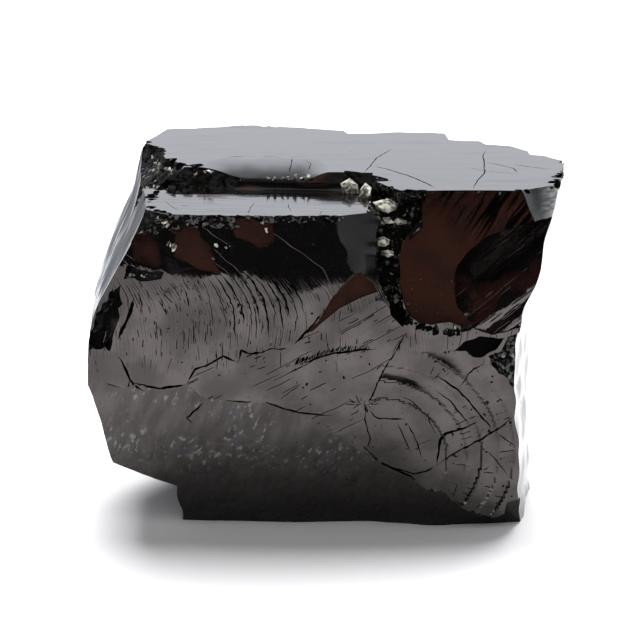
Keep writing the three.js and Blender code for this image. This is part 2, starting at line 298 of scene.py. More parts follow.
class Finish(Tree):
    """One finish of the carbon."""

    def __init__(self, name, base=BLACK, roughness=0.1, level=None, tint=None):
        self.look = bpy.data.materials.new("shungite_" + name)
        self.look.use_nodes = True
        super().__init__(self.look.node_tree)
        self.shader = self.tree.nodes["Principled BSDF"]
        self.shader.inputs["IOR"].default_value = GLASSY
        self.shader.inputs["Base Color"].default_value = (*base, 1)
        self.shader.inputs["Roughness"].default_value = roughness
        if level is not None:
            self.shader.inputs["Specular IOR Level"].default_value = level
        if tint:
            self.shader.inputs["Specular Tint"].default_value = (*tint, 1)
        place = self.node("ShaderNodeTexCoord").outputs["Object"]
        scaled = self.node("ShaderNodeVectorMath", {0: place, "Scale": 1 / MM}, operation="SCALE")
        self.mm = scaled.outputs[0]
        self.grain = self.node("ShaderNodeUVMap", uv_map="grain").outputs[0]
        self.height = None

    def cloud(self, where, scale, detail=2.0):
        """Noise with so many features per mm along each axis."""
        stretched = self.node("ShaderNodeVectorMath", {0: where, 1: scale}, operation="MULTIPLY").outputs[0]
        links = {"Vector": stretched, "Scale": 1.0, "Detail": detail}
        return self.node("ShaderNodeTexNoise", links).outputs["Fac"]

    def mottled(self, size, detail, start, end, low=0.0, high=1.0):
        """Soft spots all over, so many per mm: low where the noise is under start, high over end."""
        return self.ramp(self.cloud(self.mm, (size, size, size), detail), start, end, low, high)

    def hairs(self, where, per_mm, width, kept=0.5, stretch=0.25, wander=1.5, seed=0.0):
        """Crisp hair lines, so many per mm across, each on or off along its length: 1 on a line, else 0."""
        parts = self.node("ShaderNodeSeparateXYZ", {0: where}).outputs
        bend = self.times(self.sum(self.cloud(where, (0.35, 0.22, 0.3), 2), 0.5, "SUBTRACT"), wander)
        phase = self.sum(self.times(parts[0], per_mm), bend)
        row = self.sum(phase, 0.0, "FLOOR")
        off = self.sum(self.sum(self.sum(phase, row, "SUBTRACT"), 0.5, "SUBTRACT"), 0.0, "ABSOLUTE")
        line = self.ramp(off, width * per_mm * 0.3, width * per_mm * 0.6, 1.0, 0.0)
        spot = {0: self.times(row, 3.7), 1: self.times(parts[1], stretch), 2: seed}
        gate = self.cloud(self.node("ShaderNodeCombineXYZ", spot).outputs[0], (1, 1, 1), 1)
        level = 0.5 + 0.36 * (0.5 - kept)
        return self.times(line, self.ramp(gate, level - 0.015, level + 0.015))

    def high_up(self, start, end, low=0.0, high=1.0):
        """A value that changes with the height above the base, in mm."""
        return self.ramp(self.part(self.mm, 2), start, end, low, high)

    def colour(self, amount, one, other):
        mix = self.tree.nodes.new("ShaderNodeMix")
        mix.data_type = "RGBA"
        self.tree.links.new(amount, mix.inputs["Factor"])
        for socket, value in zip([s for s in mix.inputs if s.type == "RGBA"], (one, other)):
            if isinstance(value, bpy.types.NodeSocket):
                self.tree.links.new(value, socket)
            else:
                socket.default_value = (*value, 1)
        return [s for s in mix.outputs if s.type == "RGBA"][0]

    def raise_by(self, amount, mm):
        """Add a relief of so many mm."""
        step = self.times(amount, mm)
        self.height = step if self.height is None else self.sum(self.height, step)

    def plug(self, socket, value):
        self.tree.links.new(value, self.shader.inputs[socket])

    def done(self):
        if self.height is not None:
            bump = self.node("ShaderNodeBump", {"Height": self.height, "Strength": 1.0, "Distance": MM})
            self.plug("Normal", bump.outputs[0])
        print("made", self.look.name)
        return self.look


FINISHES = {}
print("finishes start as", BLACK)

# %% [markdown]
# ### Mirror flats
#
# The top is a cleaved flat, as smooth as a polished one. It needs almost no relief: only a faint
# swell, a breath of smudge in the roughness, and a few dull dots where dust sits.

# %% Finish of the mirror flats
flat = Finish("mirror", roughness=0.08)
smudge = flat.cloud(flat.mm, (0.12, 0.6, 0.6), 4)
flat.plug("Roughness", flat.ramp(smudge, 0.4, 0.75, 0.06, 0.2))
flat.raise_by(flat.cloud(flat.mm, (0.25, 0.25, 0.25), 2), 0.012)
flat.raise_by(flat.cloud(flat.mm, (3, 3, 3), 2), 0.0012)
dots = flat.ramp(flat.cloud(flat.mm, (1.6, 1.1, 1.6), 2), 0.735, 0.75)
flat.plug("Specular IOR Level", flat.ramp(dots, 0, 1, 0.5, 0.2))
FINISHES["mirror"] = flat.done()

# %% [markdown]
# ### The terrace and its riser
#
# The lower flat and the step up from it broke in one go. Fine streaks run along the step, and
# parts of the riser are painted a faint brown: a painted reflection of the brown glow in front.

# %% Finish of the terrace
stepped = Finish("step", roughness=0.1)
streak = stepped.cloud(stepped.grain, (2.5, 0.12, 1), 3)
stepped.plug("Roughness", stepped.ramp(streak, 0.45, 0.7, 0.07, 0.2))
stepped.raise_by(streak, 0.012)
stepped.raise_by(stepped.cloud(stepped.mm, (0.25, 0.25, 0.25), 2), 0.01)
# painted brown reflection: brown patches painted into the riser's colour
painted_brown_patch = stepped.ramp(stepped.cloud(stepped.mm, (0.22, 0.22, 0.6), 1), 0.55, 0.62)
stepped.plug("Base Color", stepped.colour(painted_brown_patch, BLACK, (0.016, 0.007, 0.005)))
FINISHES["step"] = stepped.done()

# %% [markdown]
# ### The ribbed front
#
# The broad front is covered with short dark strokes that hang from the black zone under the
# terrace. They are far too many to cut one by one, so most of them are drawn by the finish, and
# only the boldest are cut later. A mark is sunk a little and given painted shade: black colour
# and almost no gloss.
# Above the strokes the face leans back and stays calm, because there every rib would catch light.

# %% Marks on a finish
def mark(finish, dark, depth, lustre=1.0):
    """Paint shade into the marks of a finish, as black colour and little gloss, and sink them."""
    gloss = finish.times(finish.mottled(0.3, 5, 0.35, 0.65, 0.34, 0.54), lustre)
    finish.plug("Specular IOR Level", finish.ramp(dark, 0.0, 1.0, gloss, 0.03))
    finish.plug("Base Color", finish.colour(dark, BLACK, SHADE_BLACK))
    finish.raise_by(dark, -depth)


print("marks are ready")

# %% Finish of the ribbed front
hackled = Finish("hackled", tint=WARM)
upper = hackled.high_up(25, 28.5)
lower = hackled.times(hackled.high_up(16, 20), hackled.high_up(25.2, 27.6, 1.0, 0.0))
wisps = hackled.hairs(hackled.grain, 0.8, 0.09, 0.16, 0.08, 3, 3.0)
hackled.raise_by(hackled.times(wisps, upper), 0.04)
strokes = hackled.times(hackled.hairs(hackled.grain, 1.7, 0.07, 0.3, 0.3, 2.5), lower)
short = hackled.times(hackled.hairs(hackled.grain, 2.3, 0.09, 0.16, 0.9, 3.5, 7.0), lower)
fine = hackled.hairs(hackled.grain, 3.2, 0.07, 0.7, 0.15, 0.8, 5.0)
pinstripes = hackled.times(fine, hackled.times(lower, 0.3))
pits = hackled.mottled(1.8, 2, 0.72, 0.74)
# painted shade: the strokes, pinstripes and pits are blackened and lose their gloss
mark(hackled, hackled.either(strokes, short, pinstripes, pits), 0.02)
rubbed = hackled.mottled(0.5, 3, 0.4, 0.7, 0.08, 0.18)
hackled.plug("Roughness", hackled.times(rubbed, hackled.high_up(25.5, 27.5, 1.0, 0.4)))
rippled = hackled.cloud(hackled.grain, (2.6, 0.05, 1), 1)
hackled.raise_by(hackled.times(rippled, hackled.high_up(25, 27.5, 1.0, 0.2)), 0.01)
FINISHES["ribbed"] = hackled.done()

# %% [markdown]
# ### The streak band and the ring fan
#
# Two more breaks of the front get finishes of their own. The streak band is scored along its
# length. The ring fan is smoother, with combs of short lines across its rings in places, and its
# gloss is raised a little towards the foot: painted light that brightens the lower part. The
# lines of both get painted shade, as on the ribbed front.

# %% Finish of the streak band
streaky = Finish("streaky", tint=WARM)
scores = streaky.hairs(streaky.grain, 2.1, 0.06, 0.32, 0.07, 1.2)
ticks = streaky.hairs(streaky.grain, 1.9, 0.09, 0.14, 0.5, 2.5, 9.0)
# painted shade in the scores, ticks and pits
mark(streaky, streaky.either(scores, ticks, streaky.mottled(1.6, 2, 0.71, 0.73)), 0.02)
streaky.plug("Roughness", streaky.mottled(0.6, 3, 0.4, 0.7, 0.09, 0.2))
streaky.raise_by(streaky.cloud(streaky.grain, (2.2, 0.06, 1), 2), 0.025)
FINISHES["streaky"] = streaky.done()

# %% Finish of the ring fan
ringed = Finish("ringed", tint=WARM)
combs = ringed.hairs(ringed.grain, 1.8, 0.07, 0.4, 0.6, 0.6, 2.0)
patches = ringed.mottled(0.35, 1, 0.56, 0.6)
marks = ringed.either(ringed.times(combs, patches), ringed.mottled(1.5, 2, 0.7, 0.72))
# painted shade in the marks, and painted light: more gloss towards the foot
mark(ringed, marks, 0.02, ringed.high_up(3, 10, 1.4, 1.0))
ringed.plug("Roughness", ringed.mottled(0.6, 3, 0.4, 0.7, 0.09, 0.2))
ringed.raise_by(ringed.cloud(ringed.mm, (0.5, 0.5, 0.5), 3), 0.03)
FINISHES["ringed"] = ringed.done()

# %% [markdown]
# ### Painted brown reflections
#
# Some breaks mirror a brown glow, and that brown is also painted into their colour under the
# gloss: a painted brown reflection. The big crescent under the top also carries pale dust low
# down and dark hatching of painted shade at its upper right, so one function makes both kinds.

# %% Finish of the painted brown reflections
def painted_brown_finish(name, brown, dusty):
    """Painted brown reflection on a break; dusty ones add pale dust low down and painted shade in a hatch.
    """
    finish = Finish(name)
    haze = finish.cloud(finish.mm, (0.35, 0.35, 0.5), 3)
    base = finish.colour(finish.ramp(haze, 0.35, 0.7), brown, (0.011, 0.005, 0.004))
    if dusty:
        dust = finish.times(finish.mottled(5, 1, 0.74, 0.78), finish.high_up(29, 26))
        base = finish.colour(dust, base, (0.2, 0.13, 0.1))
        aslant = {"Vector": finish.grain, "Rotation": (0, 0, math.radians(35))}
        turned = finish.node("ShaderNodeMapping", aslant).outputs[0]
        up_right = finish.sum(finish.part(finish.mm, 0), finish.part(finish.mm, 2))
        # painted shade: dark hatching, black and almost without gloss, at the upper right
        hatch = finish.ramp(finish.cloud(turned, (2.4, 0.18, 1), 3), 0.47, 0.56)
        hatch = finish.times(hatch, finish.ramp(up_right, 41, 47))
        finish.plug("Specular IOR Level", finish.ramp(hatch, 0, 1, 0.5, 0.06))
        base = finish.colour(hatch, base, SHADE_BLACK)
    finish.plug("Base Color", base)
    finish.plug("Roughness", finish.ramp(haze, 0.4, 0.7, 0.08, 0.2))
    finish.raise_by(finish.cloud(finish.mm, (0.4, 0.4, 0.4), 2), 0.01)
    return finish.done()


FINISHES["painted_brown"] = painted_brown_finish("painted_brown", (0.024, 0.011, 0.008), False)
FINISHES["crescent"] = painted_brown_finish("brown_crescent", (0.024, 0.009, 0.006), True)

# %% [markdown]
# ### The hollow
#
# The hollow in the crescent is painted almost black at its deep end: painted shade that takes its
# gloss away. Towards the open side it climbs in bands that keep their gloss and catch light, with
# patches painted brown as a painted reflection and fine lines of painted shade. The grain of its
# cut runs across the bands, so the finish can read from it how far out a point lies, and shine
# only there.

# %% Finish of the hollow
banded = Finish("hollow", tint=WARM)
fine = banded.hairs(banded.grain, 2.6, 0.14, 0.55, 0.3, 1.0)
brown = banded.mottled(0.28, 1, 0.54, 0.6)
open_side = banded.ramp(banded.part(banded.grain, 0), -14.2, -12.4, 0, 1)
# painted brown reflection in patches, and painted shade: gloss taken away at the deep end and along the
# fine lines
banded.plug("Base Color", banded.colour(brown, BLACK, (0.014, 0.006, 0.005)))
shine = banded.times(banded.either(brown, open_side), banded.sum(1.0, fine, "SUBTRACT"))
banded.plug("Specular IOR Level", banded.ramp(shine, 0, 1, 0.03, 0.5))
banded.raise_by(banded.cloud(banded.grain, (2.4, 0.3, 1), 3), 0.1)
banded.raise_by(fine, -0.03)
FINISHES["hollow"] = banded.done()

# %% [markdown]
# ### Shell breaks, the left flank and the dull skin
#
# The sides and the back are clean shell-like breaks with hardly a mark. The left flank is a
# shaded copy of them: its lower specular level is painted shade that darkens what it mirrors.
# The lower front is older: a weathered skin with pale and bluish specks in slanting trails, whose
# gloss is turned down towards the base as painted shade.

# %% Finish of shell breaks and flank
broken = Finish("shell", roughness=0.09)
broken.raise_by(broken.cloud(broken.grain, (1.8, 0.12, 1), 2), 0.012)
broken.raise_by(broken.cloud(broken.mm, (0.6, 0.6, 0.6), 3), 0.02)
broken.plug("Roughness", broken.mottled(0.3, 3, 0.4, 0.7, 0.06, 0.2))
FINISHES["shellbreak"] = broken.done()

# a shaded copy: the low specular level is painted shade on the left side
shaded_flank = Finish("flank", level=0.3)
shaded_flank.raise_by(shaded_flank.cloud(shaded_flank.mm, (0.3, 0.3, 0.3), 3), 0.03)
shaded_flank.plug("Roughness", shaded_flank.mottled(0.3, 3, 0.4, 0.7, 0.1, 0.22))
FINISHES["flank"] = shaded_flank.done()

# %% Finish of the dull skin
dull = Finish("dull", roughness=0.3, tint=WARM)
leaning = {"Vector": dull.mm, "Rotation": (0, math.radians(-22), 0)}
slant = dull.node("ShaderNodeMapping", leaning).outputs[0]
drifts = dull.ramp(dull.cloud(dull.mm, (0.16, 0.16, 0.2), 1), 0.32, 0.52)
upper = dull.times(dull.high_up(5.5, 10), drifts)
pale_specks = dull.times(dull.ramp(dull.cloud(slant, (2.6, 2.6, 0.9), 3), 0.56, 0.68), upper)
blue_specks = dull.times(dull.ramp(dull.cloud(slant, (1.1, 1.1, 0.4), 2), 0.6, 0.64), upper)
skin = dull.colour(blue_specks, (0.008, 0.0075, 0.007), (0.006, 0.008, 0.018))
dull.plug("Base Color", dull.colour(pale_specks, skin, (0.11, 0.12, 0.115)))
dull.plug("Roughness", dull.mottled(0.5, 3, 0.35, 0.7, 0.2, 0.42))
dull.raise_by(dull.cloud(slant, (2.2, 2.2, 0.6), 3), 0.03)
streak = dull.ramp(dull.cloud(slant, (1.2, 1.2, 0.12), 4), 0.35, 0.65, 0.75, 1.05)
# painted shade: the gloss is turned down towards the base
dull.plug("Specular IOR Level", dull.times(dull.high_up(1, 9, 0.08, 0.45), streak))
FINISHES["dull"] = dull.done()

# %% [markdown]
# ### Crumbs and notches
#
# Crushed edges are made of crumbs that tilt every way. A Voronoi pattern gives each crumb a
# colour of its own. We read that colour as a tilt and build a relief from it, and the few crumbs
# whose number is highest are painted pale, partly as pale grains and partly as painted glints.
# A low specular level keeps all the crumbs dark as painted shade.

# %% Finish of crumbly edges
def crumbled(name, size, relief, level, glint):
    """Broken crumbs: cells that tilt every way, a few painted pale as grains and glints, all kept dark as
    painted shade.
    """
    finish = Finish(name, roughness=0.16, level=level)
    cell = finish.node("ShaderNodeTexVoronoi", {"Vector": finish.mm, "Scale": size})
    tone = finish.node("ShaderNodeSeparateColor", {0: cell.outputs["Color"]}).outputs

    def vector(operation, a, b, output):
        return finish.node("ShaderNodeVectorMath", {0: a, 1: b}, operation=operation).outputs[output]

    from_middle = vector("SUBTRACT", finish.mm, cell.outputs["Position"], "Vector")
    tilt = vector("SUBTRACT", cell.outputs["Color"], (0.5, 0.5, 0.5), "Vector")
    plane = vector("DOT_PRODUCT", from_middle, tilt, "Value")
    finish.raise_by(plane, relief)
    finish.raise_by(finish.cloud(finish.mm, (4, 4, 4), 3), 0.03)
    pale = finish.ramp(tone[0], 1 - glint, 1 - glint + 0.01)
    finish.plug("Base Color", finish.colour(pale, (0.004, 0.004, 0.0035), (0.3, 0.28, 0.24)))
    return finish.done()


# painted shade: low specular levels keep crushed edges and the notch nearly black; pale cells are painted
# glints
FINISHES["crumb"] = crumbled("crumb", 3.2, 0.8, 0.22, 0.04)
FINISHES["gap"] = crumbled("gap", 3.0, 1.2, 0.12, 0.03)

# %% [markdown]
# ### Pale grains and glints, a painted highlight, slate and crevices
#
# The last four are small accents: a pale finish for grains of a pale mineral and for painted
# glints, a corner with a painted highlight in streaks, a slate-grey film on a few facets, and
# painted shade in cracks, a dead black which must not shine at all.

# %% Finishes of the accents
# pale colour for mineral grains and for painted glints
pale = Finish("pale_grain_and_glint", roughness=0.3)
mottle = pale.cloud(pale.mm, (2.4, 2.4, 2.4), 4)
pale.plug("Base Color", pale.colour(pale.ramp(mottle, 0.38, 0.62), (0.07, 0.068, 0.055), (0.62, 0.6, 0.52)))
pale.raise_by(mottle, 0.1)
FINISHES["pale"] = pale.done()

# painted highlight: pale streaks painted into the colour of the top's right corner
painted_highlight = Finish("painted_highlight", roughness=0.25)
highlight_streaks = painted_highlight.ramp(painted_highlight.cloud(painted_highlight.mm, (1.2, 1.2, 4), 3), 0.35, 0.6, 0.4, 1.0)
highlight_amount = painted_highlight.times(highlight_streaks, painted_highlight.ramp(painted_highlight.part(painted_highlight.mm, 0), 19.8, 22.6))
painted_highlight.plug("Base Color", painted_highlight.colour(highlight_amount, (0.02, 0.02, 0.02), (0.42, 0.43, 0.44)))
FINISHES["painted_highlight"] = painted_highlight.done()

slate = Finish("slate", base=(0.014, 0.014, 0.015), roughness=0.2)
slate.raise_by(slate.cloud(slate.mm, (0.8, 0.8, 0.3), 3), 0.02)
FINISHES["slate"] = slate.done()

# painted shade: cracks are given black colour and almost no gloss
FINISHES["crevice"] = Finish("crevice", base=SHADE_BLACK, roughness=0.5, level=0.05).done()

# %% [markdown]
# ## The block and its broad front
#
# We start from a block of exactly the stone's length, depth and height. Its top and base are
# already the mirror flats. The front goes first: a shallow barrel that bulges forward at mid
# height and turns back to the sides. It stays almost upright for most of its height and leans
# back quickly near the top, which is why the upper zone mirrors the dark room.

# %% The shape of the front
def bow(x, z):
    """How far the front stands back from its foremost line."""
    below, above = np.minimum(z - 19.5, 0), np.maximum(z - 19.5, 0)
    lean_back = 0.055 * np.logaddexp(0, (z - (26.3 - 0.08 * x)) / 0.6)
    curl = (32 - np.sqrt(32 ** 2 - below ** 2)) * (1 - 0.4 * smooth(x, 4, 11))
    return curl + 0.0015 * above ** 2 + lean_back


def barrel(x, z):
    """Y of the smooth front."""
    return -DEPTH / 2 + bow(x, z) + (x + 2) ** 2 / 240


def rib_line(x, z):
    """The ribs start aslant under the terrace and hang straight below: which rib a point lies on."""
    return x + 0.1 * np.maximum(z - 23, 0) ** 2 + 0.35 * noise(x * 0.5, z * 0.35, 21)


def ribs(x, z):
    """Irregular small steps across the upper left of the front."""
    line = rib_line(x, z)
    coarse = (line / 0.9 + 0.3 * noise(line * 0.7, z * 0.1, 4)) % 1 - 0.5
    fine = (line / 0.37 + 0.3 * noise(line * 1.9, z * 0.2, 8)) % 1 - 0.5
    strength = 0.5 + 0.5 * noise(line * 0.9, z * 0.25, 14)
    where = smooth(z, 17, 20) * smooth(x, -20.5, -18.5) * smooth(-x, 2.5, 4.5)
    return -where * (0.06 - 0.05 * smooth(z, 24.5, 27)) * (coarse * strength + 0.33 * fine)


def front(x, z):
    calm = 1 - 0.75 * smooth(z, 24, 27)
    waves = 0.08 * uneven(x, z) + 0.03 * noise(x * 0.6, z * 0.6, 2)
    return barrel(x, z) + 0.14 + ribs(x, z) + calm * waves


print("the front stands back by", bow(0.0, np.array([5.0, 20.0, 33.0])).round(2), "mm")

# %% Block and front
bpy.ops.object.select_all(action="DESELECT")
bpy.ops.mesh.primitive_cube_add(size=1, location=(0, 0, HEIGHT / 2 * MM))
stone = bpy.context.object
stone.name = "shungite_lump"
stone.scale = WIDTH * MM, DEPTH * MM, HEIGHT * MM
bpy.ops.object.transform_apply(location=True, rotation=True, scale=True)
stone.data.materials.append(FINISHES["mirror"])
stone.data.uv_layers[0].name = "grain"


def tell(what):
    """Say how many faces the stone has after a step."""
    print(what + " done,", len(stone.data.polygons), "faces")


wide = WIDTH / 2 + 0.5
full_height = -SPARE, HEIGHT + SPARE
combine(stone, before("front", front, (-wide, wide), full_height, (0.22, 0.25), FINISHES["ribbed"],
                      lambda x, z: (rib_line(x, z), z)))
tell("front")

# %% [markdown]
# ## The right flank
#
# The right flank stands upright below and flares out under the top, so from the front only a
# narrow sliver of it shows. A flat cut would look sawn. We give X as a sheet over Y and Z, with
# slow waves and a foot that steps out a little.

# %% Right flank
def flank(y, z):
    """X of the right flank."""
    foot = 0.5 * (1 - smooth(z, 8, 14))
    flare = 2.95 * np.maximum(z - 20, 0) / (HEIGHT - 20) + 0.6 * smooth(z, 23, 26)
    waves = 0.15 * uneven(1.3 * y, 1.2 * z) + 0.06 * noise(y * 0.7, z * 0.7, 31)
    return 18.4 + foot + 0.15 * (y + 11) + flare + waves


deep = DEPTH / 2 + 0.5
combine(stone, beside("right", flank, (-deep, deep), full_height, (0.35, 0.35), 1, FINISHES["shellbreak"]))
tell("right flank")

# %% [markdown]
# ## The back and the lower left
#
# Glassy stone breaks in shells: a shallow bowl with rings that spread from the point of the
# blow. One function makes them all, from a flat dish as wide as the stone to a scar of a few
# millimetres. The back is one large shell with two shoulders, and the left is two more.

# %% A shell-like break
def shell(name, at, facing, surface, reach=38, dish=0.0, wave=6.0, swell=0.1, blow=1.5, rough=0.2,
          span=None, pitch=0.5):
    """
    The chunk that leaves one shell-like break. at is the middle of the new face and facing the way it
    looks; it is hollowed by dish, and rings spread over it from the blow on its rim.
    """
    span = span or (reach * 1.1 if dish else 24)
    up = Vector(facing).normalized()
    turn = Vector((0, 0, 1)).rotation_difference(up).to_matrix()
    bx, by = reach * math.cos(blow), reach * math.sin(blow)

    def place(a, b):
        struck, angle = np.hypot(a - bx, b - by), np.arctan2(b - by, a - bx)
        phase = 2 * np.pi * (struck / wave + 0.25 * noise(angle * 3, struck * 0.1, 5))
        bowl = -dish * (1 - (a * a + b * b) / reach ** 2)
        ribs = 0.04 * noise(angle * reach * 1.1, struck * 0.25, 11)
        h = bowl + swell * np.sin(phase) + ribs + rough * uneven(a, b) + 0.05 * noise(a * 0.8, b * 0.8, 3)
        return [at[k] + turn[k][0] * a + turn[k][1] * b + turn[k][2] * h for k in range(3)]

    def grain(a, b):
        return np.arctan2(b - by, a - bx) * reach * 0.6, np.hypot(a - bx, b - by)

    return chunk(name, place, grain, (-span, span), (-span, span), (pitch, pitch), up, surface)


print("shells are ready")

# %% Back and lower left
CLEAVED = [                                 # name, a point on it, the way it looks, its form
    ("back", (-10, 15.6, 20), (0.02, 1, -0.08), dict(dish=0.5, wave=7, span=30)),
    ("back_shoulder", (11, 12.8, 20), (0.26, 0.97, -0.02), dict()),
    ("back_right", (18.4, 7.4, 20), (0.76, 0.65, 0.06), dict()),
    ("left_lower", (-22.9, -6, 14), (-0.96, -0.06, -0.26), dict(swell=0.1)),
    ("left_back", (-23.4, 9, 20), (-0.93, 0.24, 0.29), dict(swell=0.04, rough=0.08)),
]
for name, at, facing, shape in CLEAVED:
    combine(stone, shell(name, at, facing, FINISHES["shellbreak"], **shape))
tell("back")

# %% [markdown]
# ## The upper left and the edges of the top
#
# The left side slants out from the terrace to its widest line, as two profiles that blend from
# front to back. The top's left rim crumbled into a rough slope, and its back edge broke in small
# steps. The lower left corner is undercut, which leaves the stone on a narrower foot.

# %% Left side
# X of the left side at given heights, near the front and at the back.
LEFT_Z = [12, 19, 21, 24, 26.8, 29.7, 31.8, 33, 35]
LEFT_FRONT = [-22.9, -22.8, -22.6, -21.9, -20.3, -18.7, -17.7, -17.1, -16.6]
LEFT_BACK = [-24, -23.9, -23.2, -22, -20.9, -19.5, -19, -18.8, -18.5]


def left_side(y, z):
    """X of the left side."""
    t = np.clip((y + 12) / 20, 0, 1.1)
    low, high = (np.interp(z - 0.5, LEFT_Z, side) * 0.5 + np.interp(z + 0.5, LEFT_Z, side) * 0.5
                 for side in (LEFT_FRONT, LEFT_BACK))
    return low * (1 - t) + high * t + 0.07 * uneven(0.8 * y, 0.8 * z) + 0.03 * noise(y * 0.6, z * 0.5, 33)


left_height = 11, HEIGHT + SPARE
combine(stone, beside("left", left_side, (-deep, deep), left_height, (0.4, 0.3), -1, FINISHES["flank"]))
tell("left side")

# %% Crumbled left rim
# The top's left rim: Y against X. Below it the side falls off in a rough slope.
RIM_Y = [-9, -6, -4.5, -2.4, -1.1, 0.9, 5.4, 7.3, 8.2, 9.3, 12]
RIM_X = [-30, -18, -14.8, -13.9, -14.5, -15.6, -16.4, -17.9, -18.4, -19.4, -22]


def chipped_rim(y, z):
    """X of the broken slope under the top's left rim."""
    rough = 0.3 * noise(y * 0.9, z * 0.9, 46) + 0.15 * noise(y * 2.3, z * 2.3, 47)
    return np.interp(y, RIM_Y, RIM_X) - 1.1 * (HEIGHT - z) + rough


rim_height = 29, HEIGHT + SPARE
combine(stone, beside("left_chips", chipped_rim, (-9, 11), rim_height, (0.25, 0.25), -1, FINISHES["crumb"]))
tell("left rim")

# %% Stepped back edge and undercut
BACK_EDGE = [(-24, 2), (-18.4, 8), (-17.4, 10.3), (-16.2, 14), (-14.5, 14.9), (-12.4, 14.9),
             (-10.7, 16.2), (-8.9, 16.2), (-7.4, 15.3), (-5.8, 14.9), (-3.7, 14.4), (1.9, 12.7),
             (2.1, 11.4), (5.5, 11.8), (6.7, 12.2), (12.1, 11.8), (12.4, 8.9), (13.3, 8.5), (15.5, 8.4),
             (15.9, 7.1), (19.9, 5.9), (20.2, 2.8), (22.3, 2.2), (22.9, 1.3), (24, -2)]


def back_edge(x, z):
    """Y of the stepped edge at the back of the top, leaning outwards below it."""
    xs, ys = zip(*BACK_EDGE)
    return np.interp(x, xs, ys) + 0.5 * (HEIGHT - z) + 0.1 * noise(x * 1.3, z * 0.4, 34)


combine(stone, chunk("back_edge", lambda x, z: (x, back_edge(x, z), z), as_is, (-wide, wide),
                     (20, HEIGHT + SPARE), (0.2, 0.5), (0, 1, 0), FINISHES["shellbreak"]))
underside = shell("underside", (-17, 0, 6.2), (-0.42, 0.05, -0.9), FINISHES["shellbreak"])
combine(underside, shell("upright", (-13.9, 0, 3), (-1, 0.06, 0.02), FINISHES["shellbreak"]), "INTERSECT")
combine(stone, underside)
tell("back edge and underside")

# %% [markdown]
# ## The stepped top
#
# Two mirror flats meet at a low riser with a quarter-round foot. We draw the riser's profile as a
# curve and sweep it to the left in a straight line, so that the sheet holds the flat, the
# quarter-round and the leaning riser in one.

# %% Terrace and riser
RISER_TURN = math.radians(-4.5)
TERRACE_END = (4.4, -5.6)                   # the right end of the riser's foot


def riser_profile():
    """(forward, height) points from above the top, down the riser and out over the terrace."""
    t = np.linspace(0, 1, 14)
    curve = [(0.1 * (1 - u) ** 2 + 0.6 * u * (1 - u) + 1.2 * u * u, TERRACE + 0.7 * (1 - u) ** 2)
             for u in t]
    wall = [(-1.3 + 0.3 * k / 6, HEIGHT + 2 - 2 * k / 6) for k in range(6)]
    lower = [(-1 + 1.1 * k / 5, HEIGHT - 0.8 * k / 5) for k in range(5)]
    flat = [(1.2 + 18.8 * k / 60, TERRACE) for k in range(1, 61)]
    return np.array(wall + lower + curve + flat)


def terrace_place(a, b):
    """a runs leftwards along the riser and b counts the points of its profile."""
    profile = riser_profile()
    forward = np.interp(b, range(len(profile)), profile[:, 0])
    height = np.interp(b, range(len(profile)), profile[:, 1])
    steep = 1 - smooth(forward, 0.6, 1.6)
    forward = forward + steep * (0.12 * noise(a * 0.35, b * 0.1, 41) + 0.03 * noise(a * 2.2, b * 0.15, 42))
    height = height + 0.012 * noise(a * 0.15, forward * 0.3, 43)
    x, y = -a, -forward
    cos, sin = math.cos(RISER_TURN), math.sin(RISER_TURN)
    return x * cos - y * sin + TERRACE_END[0], x * sin + y * cos + TERRACE_END[1], height


rows = len(riser_profile())
combine(stone, chunk("terrace", terrace_place, lambda a, b: (b * 0.2, a), (0, 30), (0, rows - 1),
                     (0.25, 0.999), (0, 0, 1), FINISHES["step"]))
tell("terrace")

# %% [markdown]
# ### The dip
#
# The top flat rolls off a little towards the middle of the riser. A very shallow dip is enough:
# on a mirror, a slope of a few degrees already shows another part of the room.

# %% Dip in the top
def top_dip(x, y):
    """The top flat rolls off towards the middle of the riser."""
    inside = smooth(x, -13, -9) * (1 - smooth(x, -2.5, 0.5))
    ripple = 0.02 * inside * noise(x * 1.5, y * 0.3, 44)
    return HEIGHT + 0.02 - 0.0145 * inside * np.maximum(1.8 - y, 0) ** 2 + ripple - 0.02 * inside


combine(stone, chunk("dip", lambda x, y: (x, y, top_dip(x, y)), as_is, (-14, 1), (-8, 2), (0.25, 0.25),
                     (0, 0, 1), FINISHES["mirror"]))
tell("dip")

# %% [markdown]
# ## Scars on the front
#
# A scar on the front is a chunk with an outline. The outline is drawn out through the whole
# depth of the stone as a prism, and only what the prism and the chunk share is cut. Real edges
# are never straight, so each outline is first walked in small steps that stray a little.

# %% Scars with an outline
def prism(name, outline, surface):
    """An outline of (x, z) points drawn out along the whole of Y."""
    corners = [(x * MM, -FAR * MM, z * MM) for x, z in outline]
    piece = opened(name, corners, [range(len(outline))], surface)
    bpy.ops.mesh.extrude_region_move(TRANSFORM_OT_translate={"value": (0, 2 * FAR * MM, 0)})
    return closed(piece)


def carve(stone, name, outline, face, surface, pitch=(0.25, 0.25), grain=as_is):
    """Break the front back to y = face(x, z) inside an outline of (x, z) points."""
    xs, zs = zip(*outline)
    reach = (min(xs) - 0.1, max(xs) + 0.1), (min(zs) - 0.1, max(zs) + 0.1)
    piece = before(name, face, *reach, pitch, surface, grain)
    return combine(stone, combine(piece, prism(name + ".edge", outline, surface), "INTERSECT"))


